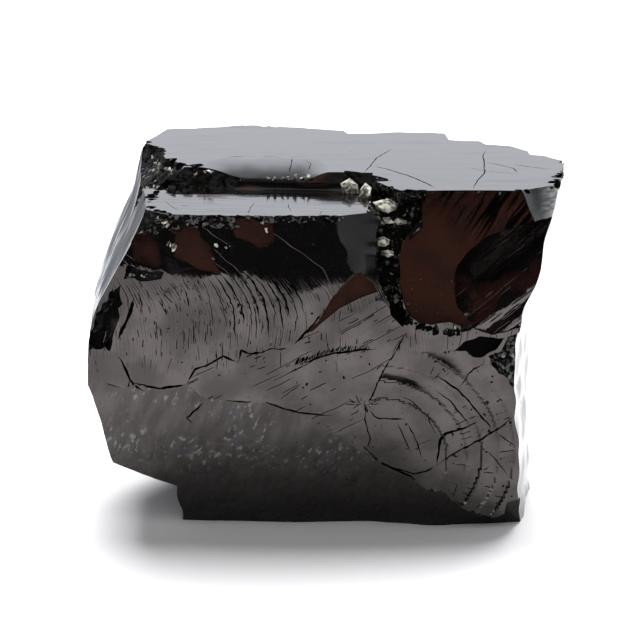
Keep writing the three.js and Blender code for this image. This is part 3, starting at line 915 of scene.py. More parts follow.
def ragged(outline, step=0.5, wobble=0.12, seed=1):
    """The same closed outline, walked in small steps that stray a little, like a real break."""
    ring = []
    for (x0, z0), (x1, z1) in zip(outline, outline[1:] + outline[:1]):
        count = max(1, round(math.hypot(x1 - x0, z1 - z0) / step))
        for k in range(count):
            x, z = x0 + (x1 - x0) * k / count, z0 + (z1 - z0) * k / count
            dx, dz = noise(x * 1.3, z * 1.3, seed), noise(z * 1.3, x * 1.3, seed + 7)
            ring.append((x + wobble * float(dx), z + wobble * float(dz)))
    return ring


print("a ragged square has", len(ragged([(0, 0), (4, 0), (4, 4), (0, 4)])), "points")

# %% [markdown]
# ### The streak band
#
# Left of the middle a band of long shallow ridges runs up to the right. Its grain is turned by
# the same angle, so that the scores of its finish follow it.

# %% Streak band
STREAK = math.radians(28)


def streak_face(x, z):
    """Long shallow ridges that run up to the right."""
    across = z * math.cos(STREAK) - x * math.sin(STREAK)
    along = z * math.sin(STREAK) + x * math.cos(STREAK)
    ridges = 0.025 * noise(across * 1.1, along * 0.08, 53)
    return barrel(x, z) + 0.16 + ridges + 0.03 * uneven(across, along)


def streak_grain(x, z):
    return z * math.cos(STREAK) - x * math.sin(STREAK), z * math.sin(STREAK) + x * math.cos(STREAK)


STREAKS = [(-13.3, 16.6), (-13, 17.4), (-12.5, 18.1), (-11.5, 18.4), (-9.9, 19.5), (-8.4, 18.8),
           (-8.1, 20.1), (-7.4, 19.7), (-6.1, 19.9), (-5.3, 20.2), (-3.6, 20.3), (-2.5, 21.4),
           (-1.6, 22.2), (1.2, 23.3), (5.2, 25), (6.7, 23.2), (7.6, 22), (6.4, 19.8), (5.8, 18.8),
           (4.9, 17), (3.9, 14.2), (3.8, 11.8), (4.2, 8.8), (1, 10.7), (-2.6, 13.1), (-7.3, 14.2),
           (-11.6, 14.3), (-13.1, 15.3)]
carve(stone, "streaks", ragged(STREAKS), streak_face, FINISHES["streaky"], grain=streak_grain)
tell("streak band")

# %% [markdown]
# ### The ring fan
#
# A blow near the middle of the lower front sent rings up and to the right, like the rings in a
# broken bottle. Each ring is a tiny lip: the surface is highest just outside it and dies away.

# %% Ring fan
BLOW = (5.0, 8.5)
RING_RADII = np.array([0, 6.6, 8.4, 9.9, 11.6, 13.1, 30])


def ring_face(x, z):
    """Each band is highest just outside its ring and dies away outwards."""
    r = np.hypot(x - BLOW[0], z - BLOW[1])
    r = r + 0.12 * noise(np.arctan2(z - BLOW[1], x - BLOW[0]) * 3, r * 0.25, 51)
    band = np.clip(np.searchsorted(RING_RADII, r) - 1, 0, len(RING_RADII) - 2)
    inner, outer = RING_RADII[band], RING_RADII[band + 1]
    t = np.clip((r - inner) / np.minimum(outer - inner, 2.5), 0, 1)
    fade = 0.6 + 0.4 * noise(np.arctan2(z - BLOW[1], x - BLOW[0]) * 2.3, band * 5.1, 55)
    lip = np.where(band > 0, 0.3, 0.0) * fade * (1 - t) ** 2
    return barrel(x, z) + 0.35 - lip + 0.02 * noise(x * 0.5, z * 0.5, 52)


def ring_grain(x, z):
    r = np.hypot(x - BLOW[0], z - BLOW[1])
    return np.arctan2(z - BLOW[1], x - BLOW[0]) * 8, r


RING_FAN = [(3.7, 14.1), (4.9, 17), (5.8, 18.8), (6.7, 19.9), (9.3, 19.7), (11.7, 19.9), (13.4, 19.6),
            (15.1, 18.3), (17.2, 16.4), (18.2, 15), (19.5, 14.4), (20.1, 2.4), (18.8, 3.3), (17.7, 3),
            (17.4, 1.6), (16.3, 1.3), (14.9, 1.7), (13.3, 2.6), (12.3, 3.6), (11.2, 4.8), (9.6, 4.8),
            (8.1, 6.4), (6.2, 7.2), (4.7, 8.4), (3.6, 9.7), (3.8, 11.8)]
carve(stone, "rings", ragged(RING_FAN), ring_face, FINISHES["ringed"], (0.2, 0.2), grain=ring_grain)
tell("ring fan")

# %% [markdown]
# ### The lower front
#
# Below both, the surface drops back to the older, duller skin and curls under to the base. It
# could be painted on, but the long ragged rim above it is a real step that casts a thin shadow,
# so it is cut as well, over almost the whole width of the stone.

# %% Lower front
def lower_face(x, z):
    """Set back below the rim, then curling away under it towards the base."""
    fall = smooth(12 - z, 0, 12)
    hollowed = 0.5 * np.sin(np.pi * fall) * smooth(x, -16, 8)
    undercut = 0.25 * np.maximum(3.7 - z, 0) * smooth(x, 5, 9)
    streaks = 0.02 * noise(x * 1.3, z * 0.3, 54)
    return barrel(x, z) + 0.6 + (hollowed + undercut) + 0.1 * uneven(x, z) + streaks


LOWER_FRONT = [(-24.6, 17.5), (-22.4, 16.9), (-21.4, 16.3), (-20.3, 15.9), (-19.1, 15.7), (-18.3, 16.2),
               (-17.2, 16), (-15.9, 15.8), (-14.6, 16), (-13.3, 16.4), (-12.5, 15.8), (-11.5, 15),
               (-10.4, 15), (-8, 14.7), (-5.8, 14.6), (-4.5, 14.1), (-2.7, 13.5), (-1.6, 13),
               (0.1, 11.8), (1.8, 10.7), (3, 9.5), (4.7, 8.3), (6.2, 7.2), (8.1, 6.4), (9.6, 4.8),
               (11.2, 4.8), (12.3, 3.6), (13.3, 2.6), (14.9, 1.7), (16.3, 1.3), (17.4, 1.6), (17.7, 3),
               (18.8, 3.3), (21, 3.7), (21, -0.5), (-24.6, -0.5)]
carve(stone, "lower_front", ragged(LOWER_FRONT, wobble=0.1, seed=3), lower_face, FINISHES["dull"])
tell("lower front")

# %% [markdown]
# ## Scars under the top
#
# ### Crushed edge and corner
#
# The terrace's front edge took many small knocks. A narrow strip of crumbs is cut along it, and
# its left corner is knocked off.

# %% Crushed terrace edge
BROW = [(-17.5, 34), (3.2, 34), (2.8, 32.6), (0, 32.3), (-3, 32.4), (-6, 32.1), (-8.5, 31.9),
        (-10.5, 31.5), (-12, 31.9), (-13.4, 31.1), (-15, 31.6), (-16.2, 30.9), (-17.8, 31.3)]


def brow_face(x, z):
    """Crushed stone along the terrace's front edge."""
    return barrel(x, z) + 0.3 + 0.12 * noise(x * 1.4, z * 1.4, 68) + 0.07 * noise(x * 3.3, z * 3.3, 69)


combine(stone, shell("corner", (-16, -13.2, 33.2), (-0.5, -0.5, 0.7), FINISHES["crumb"], swell=0.05,
                     rough=0.12, span=7, pitch=0.25))
carve(stone, "brow", ragged(BROW, 0.3, 0.35, 8), brow_face, FINISHES["crumb"], (0.2, 0.2))
tell("terrace edge")

# %% [markdown]
# ### Wedge and brown scar
#
# A pale wedge falls forward from the end of the terrace, with a three-cornered scar under it
# that is painted brown as a painted reflection. Both are small planes set at another slant than
# the front. That is enough for the wedge: on a glossy stone the slant decides what is mirrored,
# and so how light a plane looks.

# %% Wedge and brown scar
WEDGE = [(0.5, 34.6), (5.4, 34.6), (4.9, 32.1), (4.6, 30.7), (4.8, 28.7), (4.2, 27), (3.3, 27.2),
         (2.4, 28), (1.5, 30), (0.9, 31.2), (0.5, 32.6)]
BROWN_SCAR = [(-3, 20.9), (-2, 22.1), (-0.9, 22.9), (0.6, 25.4), (1.7, 26.8), (2.4, 27.5), (3.3, 27.5),
              (4.2, 26.7), (4.8, 25.8), (3.1, 25.2), (1.2, 24.2), (-0.5, 22.8), (-1.8, 21.6)]


def wedge_face(x, z):
    return -15.1 - 0.15 * (33 - z) + 0.42 * (x - 0.8) + 0.05 * noise(x * 0.5, z * 0.3, 61)


def brown_face(x, z):
    return barrel(x, z) + 0.1 + 0.28 * np.maximum(z - (20.9 + 0.55 * (x + 3)), 0)


carve(stone, "wedge", ragged(WEDGE, 0.3, 0.35), wedge_face, FINISHES["slate"])
# the brown scar takes the painted brown reflection
carve(stone, "brown_scar", ragged(BROWN_SCAR, wobble=0.05), brown_face, FINISHES["painted_brown"])
tell("wedge and brown scar")

# %% [markdown]
# ### The brown crescent and its hollow
#
# To the right a smooth slope, painted brown as a painted reflection, leans back under the top.
# A hollow bites into it from the right and leaves it the shape of a crescent. Inside, the hollow
# is deep under the arc and then climbs to the old front in bands.

# %% Crescent
CRESCENT = [(9.3, 36), (9.2, 33.8), (9, 31.9), (7.9, 30.8), (7.1, 29.7), (6.7, 28.2), (6.8, 26.4),
            (7.3, 24.5), (7.9, 23.2), (8.8, 22.6), (9.8, 22.4), (11.7, 22.7), (12.6, 22.3),
            (13.6, 22.1), (14.6, 22.8), (12.8, 23.9), (12.5, 25.3), (12.5, 26.4), (12.8, 27.3),
            (14, 28.6), (15.6, 29.8), (18, 30.8), (20, 31.3), (24.5, 31.5), (24.5, 36)]


def crescent_face(x, z):
    """A smooth slope that leans back under the top, dished a little in the middle."""
    r = np.hypot(x - 13, z - 28) / 7
    combs = 0.02 * smooth(x + z, 43, 46) * noise((x - 0.5 * z) * 2.2, (x * 0.5 + z) * 0.3, 65)
    return -11.3 - 0.27 * (34.3 - z) + 0.4 * (1 - r * r) + combs + 0.04 * uneven(x * 0.7, z * 0.7)


carve(stone, "crescent", ragged(CRESCENT, wobble=0.1, seed=2), crescent_face, FINISHES["crescent"])
tell("crescent")

# %% Hollow
HOLLOW = [(24.5, 31.9), (20, 31.7), (17.9, 31.2), (15.4, 30.3), (13.6, 29), (12.4, 27.5), (12.1, 26.4),
          (12.1, 25.3), (12.4, 23.8), (13.2, 22.8), (14, 21.9), (15.7, 21.2), (17.6, 21.6), (24.5, 23)]


def hollow_face(x, z):
    """Deep under the arc, then climbing to the old front in bands that run up to the right."""
    across, up = x - 12.2, z - 26
    climb = 0.6 * across - 0.8 * up + 0.25 * noise(x * 0.4, z * 0.4, 62)
    out = smooth(climb, 0.3, 6)
    bands = smooth(climb, 0.8, 2.2)
    ridges = 0.2 * bands * (np.abs((climb / 1.8) % 1 - 0.5) * 4 - 1)
    combs = 0.05 * bands * noise((0.8 * across + 0.6 * up) * 3, climb * 0.5, 63)
    deep = crescent_face(x, z) + 1.3 + 0.3 * np.maximum(z - 24, 0)
    return deep * (1 - out) + (barrel(x, z) + 0.3) * out + ridges + combs


carve(stone, "hollow", ragged(HOLLOW, wobble=0.06, seed=4), hollow_face, FINISHES["hollow"],
      (0.18, 0.18), lambda x, z: (0.6 * x - 0.8 * z, 0.8 * x + 0.6 * z))
tell("hollow")

# %% [markdown]
# ### The notch, the lens and the chipped right edge
#
# A rough notch runs down between the wedge and the crescent, widest under the top, and its
# finish keeps it black as painted shade. It is cut after both, so that it bites into their edges.
# Below the hollow lies a small lens painted black as shade, and right of it the edge is crushed.

# %% Notch
GAP = [(3, 36), (9.3, 36), (9.3, 33.8), (9.1, 31.9), (8, 30.8), (7.2, 29.7), (6.8, 28.2), (6.9, 26.4),
       (7.4, 24.5), (8, 23.2), (7.2, 22.3), (6.2, 23.2), (5.4, 25), (4.9, 26.8), (4.8, 28.7),
       (4.7, 30.7), (5.1, 32), (4.2, 33.1), (3, 33.5)]


def gap_face(x, z):
    """A rough notch between the wedge and the crescent, widest under the top; its finish paints it black as
    shade.
    """
    rough = 0.3 * noise(x * 1.1, z * 1.1, 66) + 0.16 * noise(x * 2.7, z * 2.7, 67)
    widened = 1.5 * np.maximum(7 - x, 0) * smooth(z, 31.5, 33)
    return -10.2 - 1.1 * smooth(z, 32.6, 34) - 0.27 * (34.3 - z) + widened + rough


carve(stone, "gap", ragged(GAP, wobble=0.3, seed=6), gap_face, FINISHES["gap"], (0.18, 0.18))
tell("notch")

# %% Lens and edge chip
LENS = [(11.8, 19.8), (13.2, 20.6), (14.3, 21), (15.9, 21), (16.8, 20.7), (16.2, 19.9), (15.3, 19.4),
        (14.4, 19.2), (13.4, 19.4)]
EDGE_CHIP = [(16.5, 19.5), (17.1, 20.7), (18.1, 21.4), (20.3, 21.6), (20.3, 14.2), (18.2, 15.3),
             (17.2, 16.6), (15.7, 18.1), (15.2, 19)]


def lens_face(x, z):
    return barrel(x, z) + 0.1 + 0.4 * np.maximum(z - 18.8, 0)


def edge_chip_face(x, z):
    rough = 0.1 * noise(x * 1.5, z * 1.5, 64)
    return barrel(x, z) + 0.2 + 0.2 * (z - 15) + 0.15 * np.sin(3 * x + z) + rough


# painted shade: the lens takes the black crevice finish
carve(stone, "lens", ragged(LENS, 0.3, 0.25), lens_face, FINISHES["crevice"])
carve(stone, "edge_chip", ragged(EDGE_CHIP, wobble=0.3), edge_chip_face, FINISHES["crumb"])
tell("lens and edge chip")

# %% [markdown]
# ### Small facets
#
# The upper left of the front is broken into little facets, some painted brown as a painted
# reflection, some slate grey, and two dark ones on the left ridge. Each is a flat shell cut
# inside a ragged outline.

# %% Facets
FACETS = [                                  # outline, a point on the facet, the way it looks, its finish
    ([(-18.5, 31.1), (-16.6, 31.4), (-15.6, 29.7), (-15.4, 27.9), (-16.7, 27.5), (-18.5, 28.2)],
     (-17, -13.9, 29.5), (-0.18, -0.95, 0.26), "painted_brown"),
    ([(-14.4, 31.5), (-12.4, 31.8), (-11.4, 30.7), (-10.6, 29.2), (-10.2, 27.6), (-12, 27.9),
      (-13.2, 28.6), (-14.5, 28.9)],
     (-12.8, -14.8, 29.7), (-0.02, -0.96, 0.28), "painted_brown"),
    ([(-8.9, 32.2), (-6.7, 32.6), (-5.2, 32.3), (-4.4, 31), (-6.1, 30.2), (-7.6, 30.8), (-8.5, 31.3)],
     (-6.8, -15, 31.5), (0.05, -0.96, 0.27), "painted_brown"),
    ([(-15.2, 29.3), (-14.2, 28.4), (-12.3, 27.5), (-12.7, 26.9), (-14.6, 27.1), (-15.4, 27.6)],
     (-14.2, -14.8, 28), (-0.3, -0.78, 0.5), "slate"),
    ([(-18.8, 28), (-16.8, 27.4), (-15.6, 27.7), (-15.6, 27), (-17.4, 26.7), (-19, 27)],
     (-17.2, -14.2, 27.3), (-0.3, -0.8, 0.5), "slate"),
    ([(-20, 26), (-20.8, 24.9), (-22, 23.3), (-22.7, 20.7), (-23.1, 19.6), (-22.1, 19.4), (-21.3, 20.2),
      (-20.6, 23.4), (-20.2, 25.4)],
     (-21, -13.6, 22.5), (-0.34, -0.9, 0.24), "shellbreak"),
    ([(-19.8, 26), (-19.5, 24.6), (-19.7, 22.5), (-20.1, 20.6), (-20.6, 19.6), (-21.4, 20.1),
      (-20.7, 23.4), (-20.3, 25.4)],
     (-20.3, -14, 22.5), (-0.42, -0.9, 0.1), "streaky"),
]
for number, (outline, at, facing, look) in enumerate(FACETS):
    tool = shell(f"facet{number}", at, facing, FINISHES[look], swell=0.02, rough=0.04, span=7, pitch=0.25)
    edge = prism("facet_edge", ragged(outline, 0.3, 0.35, number), FINISHES["crumb"])
    combine(stone, combine(tool, edge, "INTERSECT"))
tell("facets")

# %% [markdown]
# ## Shell-like scars all round
#
# Smaller blows left deep shells on the other sides. They are what makes the lump look like
# broken glass when it is turned. The first three are small: a notch at the riser's right end, one
# at its left, and the corner of the top that carries a painted highlight.

# %% Scars on the other sides
SMALL = dict(surface=FINISHES["gap"], swell=0, rough=0.15, pitch=0.25)
SCARS = [                                   # a point in it, the way it looks, its form
    ((4, -5.4, 34.4), (-0.4, -0.5, 0.77), dict(SMALL, reach=2, dish=0.2)),
    ((-11.4, -3.6, 34), (-0.1, -0.6, 0.8), dict(SMALL, reach=3, dish=0.4)),
    ((21.2, -10.2, 33.6), (0.5, -0.76, 0.42),
     dict(surface=FINISHES["painted_highlight"], reach=3.4, dish=0.2, swell=0.03, rough=0.1, pitch=0.25)),
    ((21.6, 2, 8), (0.95, 0.3, -0.1), dict(reach=9, dish=2.2, wave=3, blow=2.4)),
    ((15.8, 9.2, 24), (0.6, 0.8, 0.1), dict(reach=10, dish=2.2, wave=3, blow=4.2)),
    ((3, 13.6, 13), (0.1, 0.97, -0.2), dict(reach=11.5, dish=2.6, wave=3.4, blow=0.4)),
    ((-12, 14.7, 22), (-0.25, 0.97, 0.05), dict(reach=12, dish=2.4, wave=3.2, blow=5.5)),
    ((-19.4, 8.8, 10), (-0.8, 0.6, -0.1), dict(reach=11, dish=2.2, wave=3, blow=1)),
    ((-23.4, 5, 11), (-1, 0.1, -0.1), dict(reach=6, dish=0.8, wave=3, blow=3.5)),
]
for number, (at, facing, shape) in enumerate(SCARS):
    shape = {"surface": FINISHES["shellbreak"], "rough": 0.08, "pitch": 0.4, **shape}
    combine(stone, shell(f"scar{number}", at, facing, **shape))
tell("scars all round")

# %% [markdown]
# ## Cracks, chips and grains
#
# A crack is a narrow groove that wanders. We lay each one on the surface by looking straight at
# the stone along the line, so that the groove follows whatever face it crosses. Grooves that
# don't touch are joined and cut in one go. The same goes for chips, which are small angular bites
# along the sharp edges, and for dashes, which are little spindle-shaped nicks.

# %% Lines laid on the stone
rng = np.random.default_rng(7)


def land(point, look):
    """The spot on the stone that is met from outside when looking along the vector look, and its normal."""
    start = Vector(point) * MM - Vector(look) * FAR * MM
    found, spot, normal, _ = stone.ray_cast(start, Vector(look))
    return (np.array(spot) / MM, np.array(normal)) if found else None


def walk(points, step=0.35, stray=0.06, seed=0):
    """A line of points in small steps that stray a little."""
    points = [np.array(p, float) for p in points]
    way = []
    for p, q in zip(points, points[1:]):
        count = max(1, round(float(np.linalg.norm(q - p)) / step))
        way += [p + (q - p) * k / count for k in range(count)]
    way.append(points[-1])
    for k, p in enumerate(way):
        p += stray * np.array([float(noise(k * 0.7, seed * 3.1 + axis * 9, 71)) for axis in range(len(p))])
    return way


print("the point under the middle of the top:", land((0, 5, HEIGHT), (0, 0, -1))[0].round(2))

# %% A groove
CLEARANCE = 0.15                            # how far apart two grooves of one cut must be, in mm


def groove(way, look, width=0.14, depth=0.28):
    """A V-shaped groove along points that are seen along look, pointed at both ends."""
    landed = [spot for spot in (land(p, look) for p in way) if spot]
    if len(landed) < 2:
        return None
    spots = np.array([spot for spot, _ in landed])
    normals = np.array([normal for _, normal in landed])
    run = np.gradient(spots, axis=0)
    sideways = np.cross(normals, run)
    sideways /= np.linalg.norm(sideways, axis=1)[:, None] + 1e-9
    t = np.linspace(0, 1, len(spots))
    full = np.clip(np.minimum(t, 1 - t) * 6, 0.25, 1) * (0.75 + 0.5 * rng.random(len(spots)))
    half = (width / 2 * full)[:, None]
    rings = [spots + sideways * half * 1.6 + normals * 0.1, spots - sideways * half * 1.6 + normals * 0.1,
             spots - normals * (depth * full)[:, None]]
    verts = np.stack(rings, axis=1).reshape(-1, 3)
    faces = [(0, 1, 2), (3 * len(spots) - 1, 3 * len(spots) - 2, 3 * len(spots) - 3)]
    for k in range(len(spots) - 1):
        for i in range(3):
            j = (i + 1) % 3
            faces.append((3 * k + i, 3 * k + 3 + i, 3 * k + 3 + j, 3 * k + j))
    return verts, faces, spots, width + CLEARANCE


print("grooves are ready")

# %% A crumb
def lumpy(spot, size, stretch=(1, 1, 1), turn=None, spread=0.3):
    """A small angular solid: an icosahedron with its corners pushed about, in a pose of its own."""
    golden = (1 + 5 ** 0.5) / 2
    corners = np.array([(-1, golden, 0), (1, golden, 0), (-1, -golden, 0), (1, -golden, 0), (0, -1, golden),
                        (0, 1, golden), (0, -1, -golden), (0, 1, -golden), (golden, 0, -1), (golden, 0, 1),
                        (-golden, 0, -1), (-golden, 0, 1)]) / 1.9
    faces = [(0, 11, 5), (0, 5, 1), (0, 1, 7), (0, 7, 10), (0, 10, 11), (1, 5, 9), (5, 11, 4),
             (11, 10, 2), (10, 7, 6), (7, 1, 8), (3, 9, 4), (3, 4, 2), (3, 2, 6), (3, 6, 8), (3, 8, 9),
             (4, 9, 5), (2, 4, 11), (6, 2, 10), (8, 6, 7), (9, 8, 1)]
    corners = corners * (1 + spread * (rng.random((12, 1)) - 0.5) * 2)
    if turn is None:
        turn = np.linalg.qr(rng.normal(size=(3, 3)))[0]
        turn *= np.sign(np.linalg.det(turn))
    verts = (corners * np.array(stretch) * size) @ np.array(turn).T + np.array(spot)
    return verts, faces, np.array([spot]), size * max(stretch) * 1.35


print("a crumb has 12 corners and 20 faces")

# %% Cutting many small tools at once
def apart(tools):
    """Sort tools into groups in which no two come near each other."""
    groups = []
    for tool in tools:
        for group in groups:
            if all(np.linalg.norm(tool[2][:, None] - other[2][None], axis=2).min() > tool[3] + other[3]
                   for other in group):
                group.append(tool)
                break
        else:
            groups.append([tool])
    return groups


def apply_tools(name, tools, surface, operation="DIFFERENCE"):
    """Join each group of small tools into one mesh and cut it, or add it, in one go."""
    tools = [tool for tool in tools if tool]
    groups = apart(tools)
    for number, group in enumerate(groups):
        verts, faces = [], []
        for tool_verts, tool_faces, _, _ in group:
            faces += [tuple(len(verts) + i for i in face) for face in tool_faces]
            verts += [tuple(v * MM) for v in tool_verts]
        piece = opened(f"{name}{number}", verts, faces, surface)
        bpy.ops.mesh.quads_convert_to_tris()
        combine(stone, closed(piece), operation)
    print(f"{name}: {len(tools)} tools in {len(groups)} cuts, {len(stone.data.polygons)} faces")


AHEAD, DOWN = (0, 1, 0), (0, 0, -1)
print("grooves on the front are seen along", AHEAD, "and on the top along", DOWN)

# %% [markdown]
# ### Chipped edges
#
# A sharp edge of glassy stone never stays whole. Along each rim we scatter bites of all sizes,
# with many small ones for each large one, as squaring a random number does.

# %% Chipped edges
RIMS = {                                    # the way along it, then how many bites, their size and stray
    "terrace front": ([(-17, -10.5, 32.8), (-16.2, -12.8, 32.8), (-14.6, -14.6, 32.8), (-11, -15, 32.8),
        (-6, -15.2, 32.8), (-2, -15.3, 32.8), (1.4, -15, 32.8)], 90, 0.45, 0.35),
    "terrace left": ([(-15.4, -3.4, 33.2), (-16.6, -6.5, 33), (-17, -10, 32.8)], 22, 0.6, 0.4),
    "top left": ([(-19, 8, 34.4), (-17.4, 3.5, 34.4), (-15.4, -0.9, 34.4),
        (-12.9, -1.6, 34.4)], 40, 0.8, 0.6),
    "riser rim": ([(-13.6, -4, 34.4), (-8.6, -4.5, 34.1), (-5.7, -4.7, 34), (-1.4, -5.1, 34.2),
        (3, -5.4, 34.4)], 30, 0.3, 0.2),
    "top front": ([(5.5, -9.8, 34.3), (9.4, -11.8, 34.4), (13.5, -12, 34.4),
        (20.6, -10.6, 34.4)], 34, 0.4, 0.25),
    "top right": ([(21.8, -10, 34.4), (22.4, -6, 34.4), (23, -3, 34.4), (23.3, 0, 34.4)], 22, 0.5, 0.3),
    "top back": ([(23, 2, 34.4), (19.8, 6.3, 34.4), (13.6, 13, 34.4), (3.8, 15.4, 34.4),
        (-13, 15.8, 34.4)], 46, 0.7, 0.5),
    "base front": ([(-13.9, -9.7, 0.1), (-2.6, -10.2, 0.1), (17.2, -9.2, 0.1)], 10, 0.35, 0.1),
    "right rim": ([(19.6, -13.6, 3), (19.2, -14, 9), (18.8, -14.4, 15), (18.4, -14.5, 21),
        (20.6, -13, 26), (22, -12.2, 31)], 56, 0.55, 0.35),
    "crescent rim": ([(6.6, -15.4, 24.6), (7.4, -15.5, 23.2), (8.8, -15.5, 22.3), (10.7, -15.4, 21.7),
        (12.6, -15.3, 21.7), (14, -15, 22.2)], 60, 0.42, 0.3),
    "left ridge": ([(-18.4, -10, 29.5), (-19.8, -11.6, 25.8), (-21.2, -12.2, 22),
        (-21.8, -12, 19)], 24, 0.4, 0.3),
}
bites = []
for points, count, size, stray in RIMS.values():
    way = np.array(walk(points, 0.2, 0))
    for _ in range(count):
        spot = way[rng.integers(len(way))] + stray * (rng.random(3) - 0.5)
        bites.append(lumpy(spot, size * (0.35 + rng.random() ** 2), (1.4, 1, 0.7)))
apply_tools("bites", bites, FINISHES["crumb"])

# %% [markdown]
# ### Pale grains and painted glints
#
# At the end of the terrace sits a row of pale grains, and tiny pale bits, painted glints, are
# strewn along the crushed edges. They are added, not cut. None may stand above the top flat.

# %% Pale grains
GRAINS = [((2.2, -6.5, 33.4), 0.9, (1.1, 1, 1)), ((3.7, -7.8, 33.3), 0.8, (0.8, 1, 1.2)),
          ((5.8, -10.4, 32.7), 0.85, (1.6, 1, 0.75)), ((6.6, -10.6, 31.3), 0.7, (2, 1, 0.8)),
          ((5.4, -12, 29.6), 0.62, (1.2, 1, 0.9)), ((5.8, -12.3, 28.6), 0.62, (1.3, 1, 0.7))]
GLINTS = [(-15.2, -14.4, 32.2), (-15, -14.4, 31.9), (-14.8, -14.8, 30.3), (-14.5, -14.8, 30),
          (-10.3, -15.1, 30.1), (-9.6, -15.1, 30.1), (-9, -15.1, 29.9), (-10.7, -15, 28.9),
          (-5.6, -15.2, 31.7), (-18.6, -13.9, 26.9), (-18.2, -13.9, 26.9), (-17.2, -14.3, 27),
          (-16.8, -14.3, 27), (-16.4, -14.3, 27), (3.3, -14.4, 27.4), (-11.9, -3.6, 34.4),
          (-11.4, -3.7, 34.4), (-5.6, -4.6, 34), (-5, -4.7, 34), (-4.4, -4.7, 34), (-3.8, -4.7, 34),
          (-3.2, -4.7, 34.1), (-2.4, -4.7, 34.1), (-1.8, -4.7, 34.2), (-16.9, 1.6, 33.9),
          (-16.4, 0.6, 33.7), (-15.6, -1.2, 33.9), (-15.1, -1.6, 33.5)]
TALLEST = HEIGHT - 0.03                     # just under the top flat
flat_on = np.eye(3)
grains = [lumpy(spot, size, stretch, flat_on, 0.24) for spot, size, stretch in GRAINS]
# painted glints: pale bits that stand for glints of light
for spot in GLINTS * 2:
    strayed = np.array(spot) + 0.25 * (rng.random(3) - 0.5)
    grains.append(lumpy(strayed, 0.09 + 0.14 * rng.random(), (2.2, 1, 0.7)))
for corners, *_ in grains:
    corners[:, 2] = np.minimum(corners[:, 2], TALLEST)
apply_tools("grains", grains, FINISHES["pale"], "UNION")

# %% [markdown]
# ### Cracks
#
# The cracks of the front are lines of (x, z) and those of the top are lines of (x, y), each with
# its width and depth in mm. A third set of arcs hangs from the black zone along the ribs.

# %% Cracks
FRONT_CRACKS = [
    ([(-18.3, 24.9), (-18.6, 23.6), (-19.2, 22.1), (-19.9, 20.7)], 0.24, 0.5),
    ([(-19.9, 19.1), (-19.3, 18.1), (-18.8, 16.8), (-18.1, 15.7), (-17.5, 15.4)], 0.2, 0.3),
    ([(-21.4, 16.3), (-20.3, 15.9), (-19.1, 15.7), (-18.8, 16.7)], 0.16, 0.3),
    ([(-18.4, 16.4), (-17.1, 16.1), (-15.9, 15.9), (-14.6, 16.2), (-13.4, 16.5)], 0.2, 0.35),
    ([(-13.4, 16.5), (-12.5, 18.1), (-11.5, 18.4), (-9.9, 19.4), (-8.4, 18.8)], 0.16, 0.3),
    ([(-8.4, 18.8), (-8.1, 20), (-7.4, 19.7), (-6.1, 19.9), (-5.3, 20.2), (-3.6, 20.2)], 0.18, 0.3),
    ([(-3.1, 20.7), (-1.7, 22.1), (-0.4, 23.8)], 0.14, 0.3),
    ([(-10.3, 15), (-8, 14.7), (-5.8, 14.7), (-4.2, 14.1), (-2.6, 13.6), (1, 13.3)], 0.15, 0.3),
    ([(-11.8, 14.4), (-13, 13.2), (-13.4, 12.7), (-12.9, 12.2)], 0.14, 0.3),
    ([(3.9, 14.1), (4.9, 16.9), (5.8, 18.7), (6.4, 19.7), (7.6, 21.9)], 0.13, 0.3),
    ([(10.2, 15.9), (10.9, 15.4), (11.8, 14.7), (12.8, 13.3), (13.7, 12)], 0.11, 0.25),
    ([(9.8, 17.2), (10.6, 17.2), (11.5, 16.5), (12.5, 15.8), (13.5, 14.6), (14.5, 13.3),
      (16.1, 11.2)], 0.14, 0.3),
    ([(6.8, 15.3), (7.9, 14.9), (8.7, 14.1), (9.5, 13.2), (10.2, 11.8), (10.7, 10.8)], 0.08, 0.2),
    ([(6.7, 12.5), (7.2, 11.4), (7.7, 10), (8.2, 8.9)], 0.1, 0.22),
    ([(7.7, 12.4), (8.3, 11.2), (8.8, 9.9), (9.2, 8.5)], 0.1, 0.22),
    ([(4.1, 13.9), (4.5, 13.2), (5, 12.9), (7.5, 12.8)], 0.13, 0.28),
    ([(18.1, 12.8), (17.1, 11.9), (16.1, 11.2), (14, 9.9), (11.9, 8.8), (10.6, 7.7)], 0.15, 0.3),
    ([(14.2, 12.1), (13, 11.6), (11.4, 11.2), (10.9, 10.5), (10.6, 7.7)], 0.2, 0.3),
    ([(10.6, 7.7), (9.5, 7), (8.4, 6.7), (6.2, 7.4)], 0.15, 0.3),
    ([(3.7, 14), (3.6, 12.9), (4.2, 10.7), (3.9, 9.5)], 0.11, 0.25),
    ([(14.9, 18.4), (13.6, 17.4), (12.7, 16)], 0.11, 0.25),
    ([(16.5, 10.9), (17.4, 10.2), (18.3, 9.3)], 0.1, 0.2),
    ([(15.5, 9.1), (16.5, 7.9), (17.5, 6.3)], 0.09, 0.2),
    ([(12.8, 5.7), (12.1, 3.7)], 0.07, 0.15),
    ([(-3.8, 17.8), (-2.1, 18.6), (-0.9, 19.3)], 0.08, 0.2),
    ([(-2.6, 18.6), (-1, 19.3), (0.8, 19.8), (2.5, 20), (4.7, 20.2)], 0.2, 0.25),
    ([(-5.8, 15.9), (-3.1, 17.4)], 0.07, 0.15),
    ([(-4.5, 15.1), (-2.4, 16.7)], 0.07, 0.15),
    ([(-7.3, 16.2), (-4.2, 17.9)], 0.06, 0.15),
]
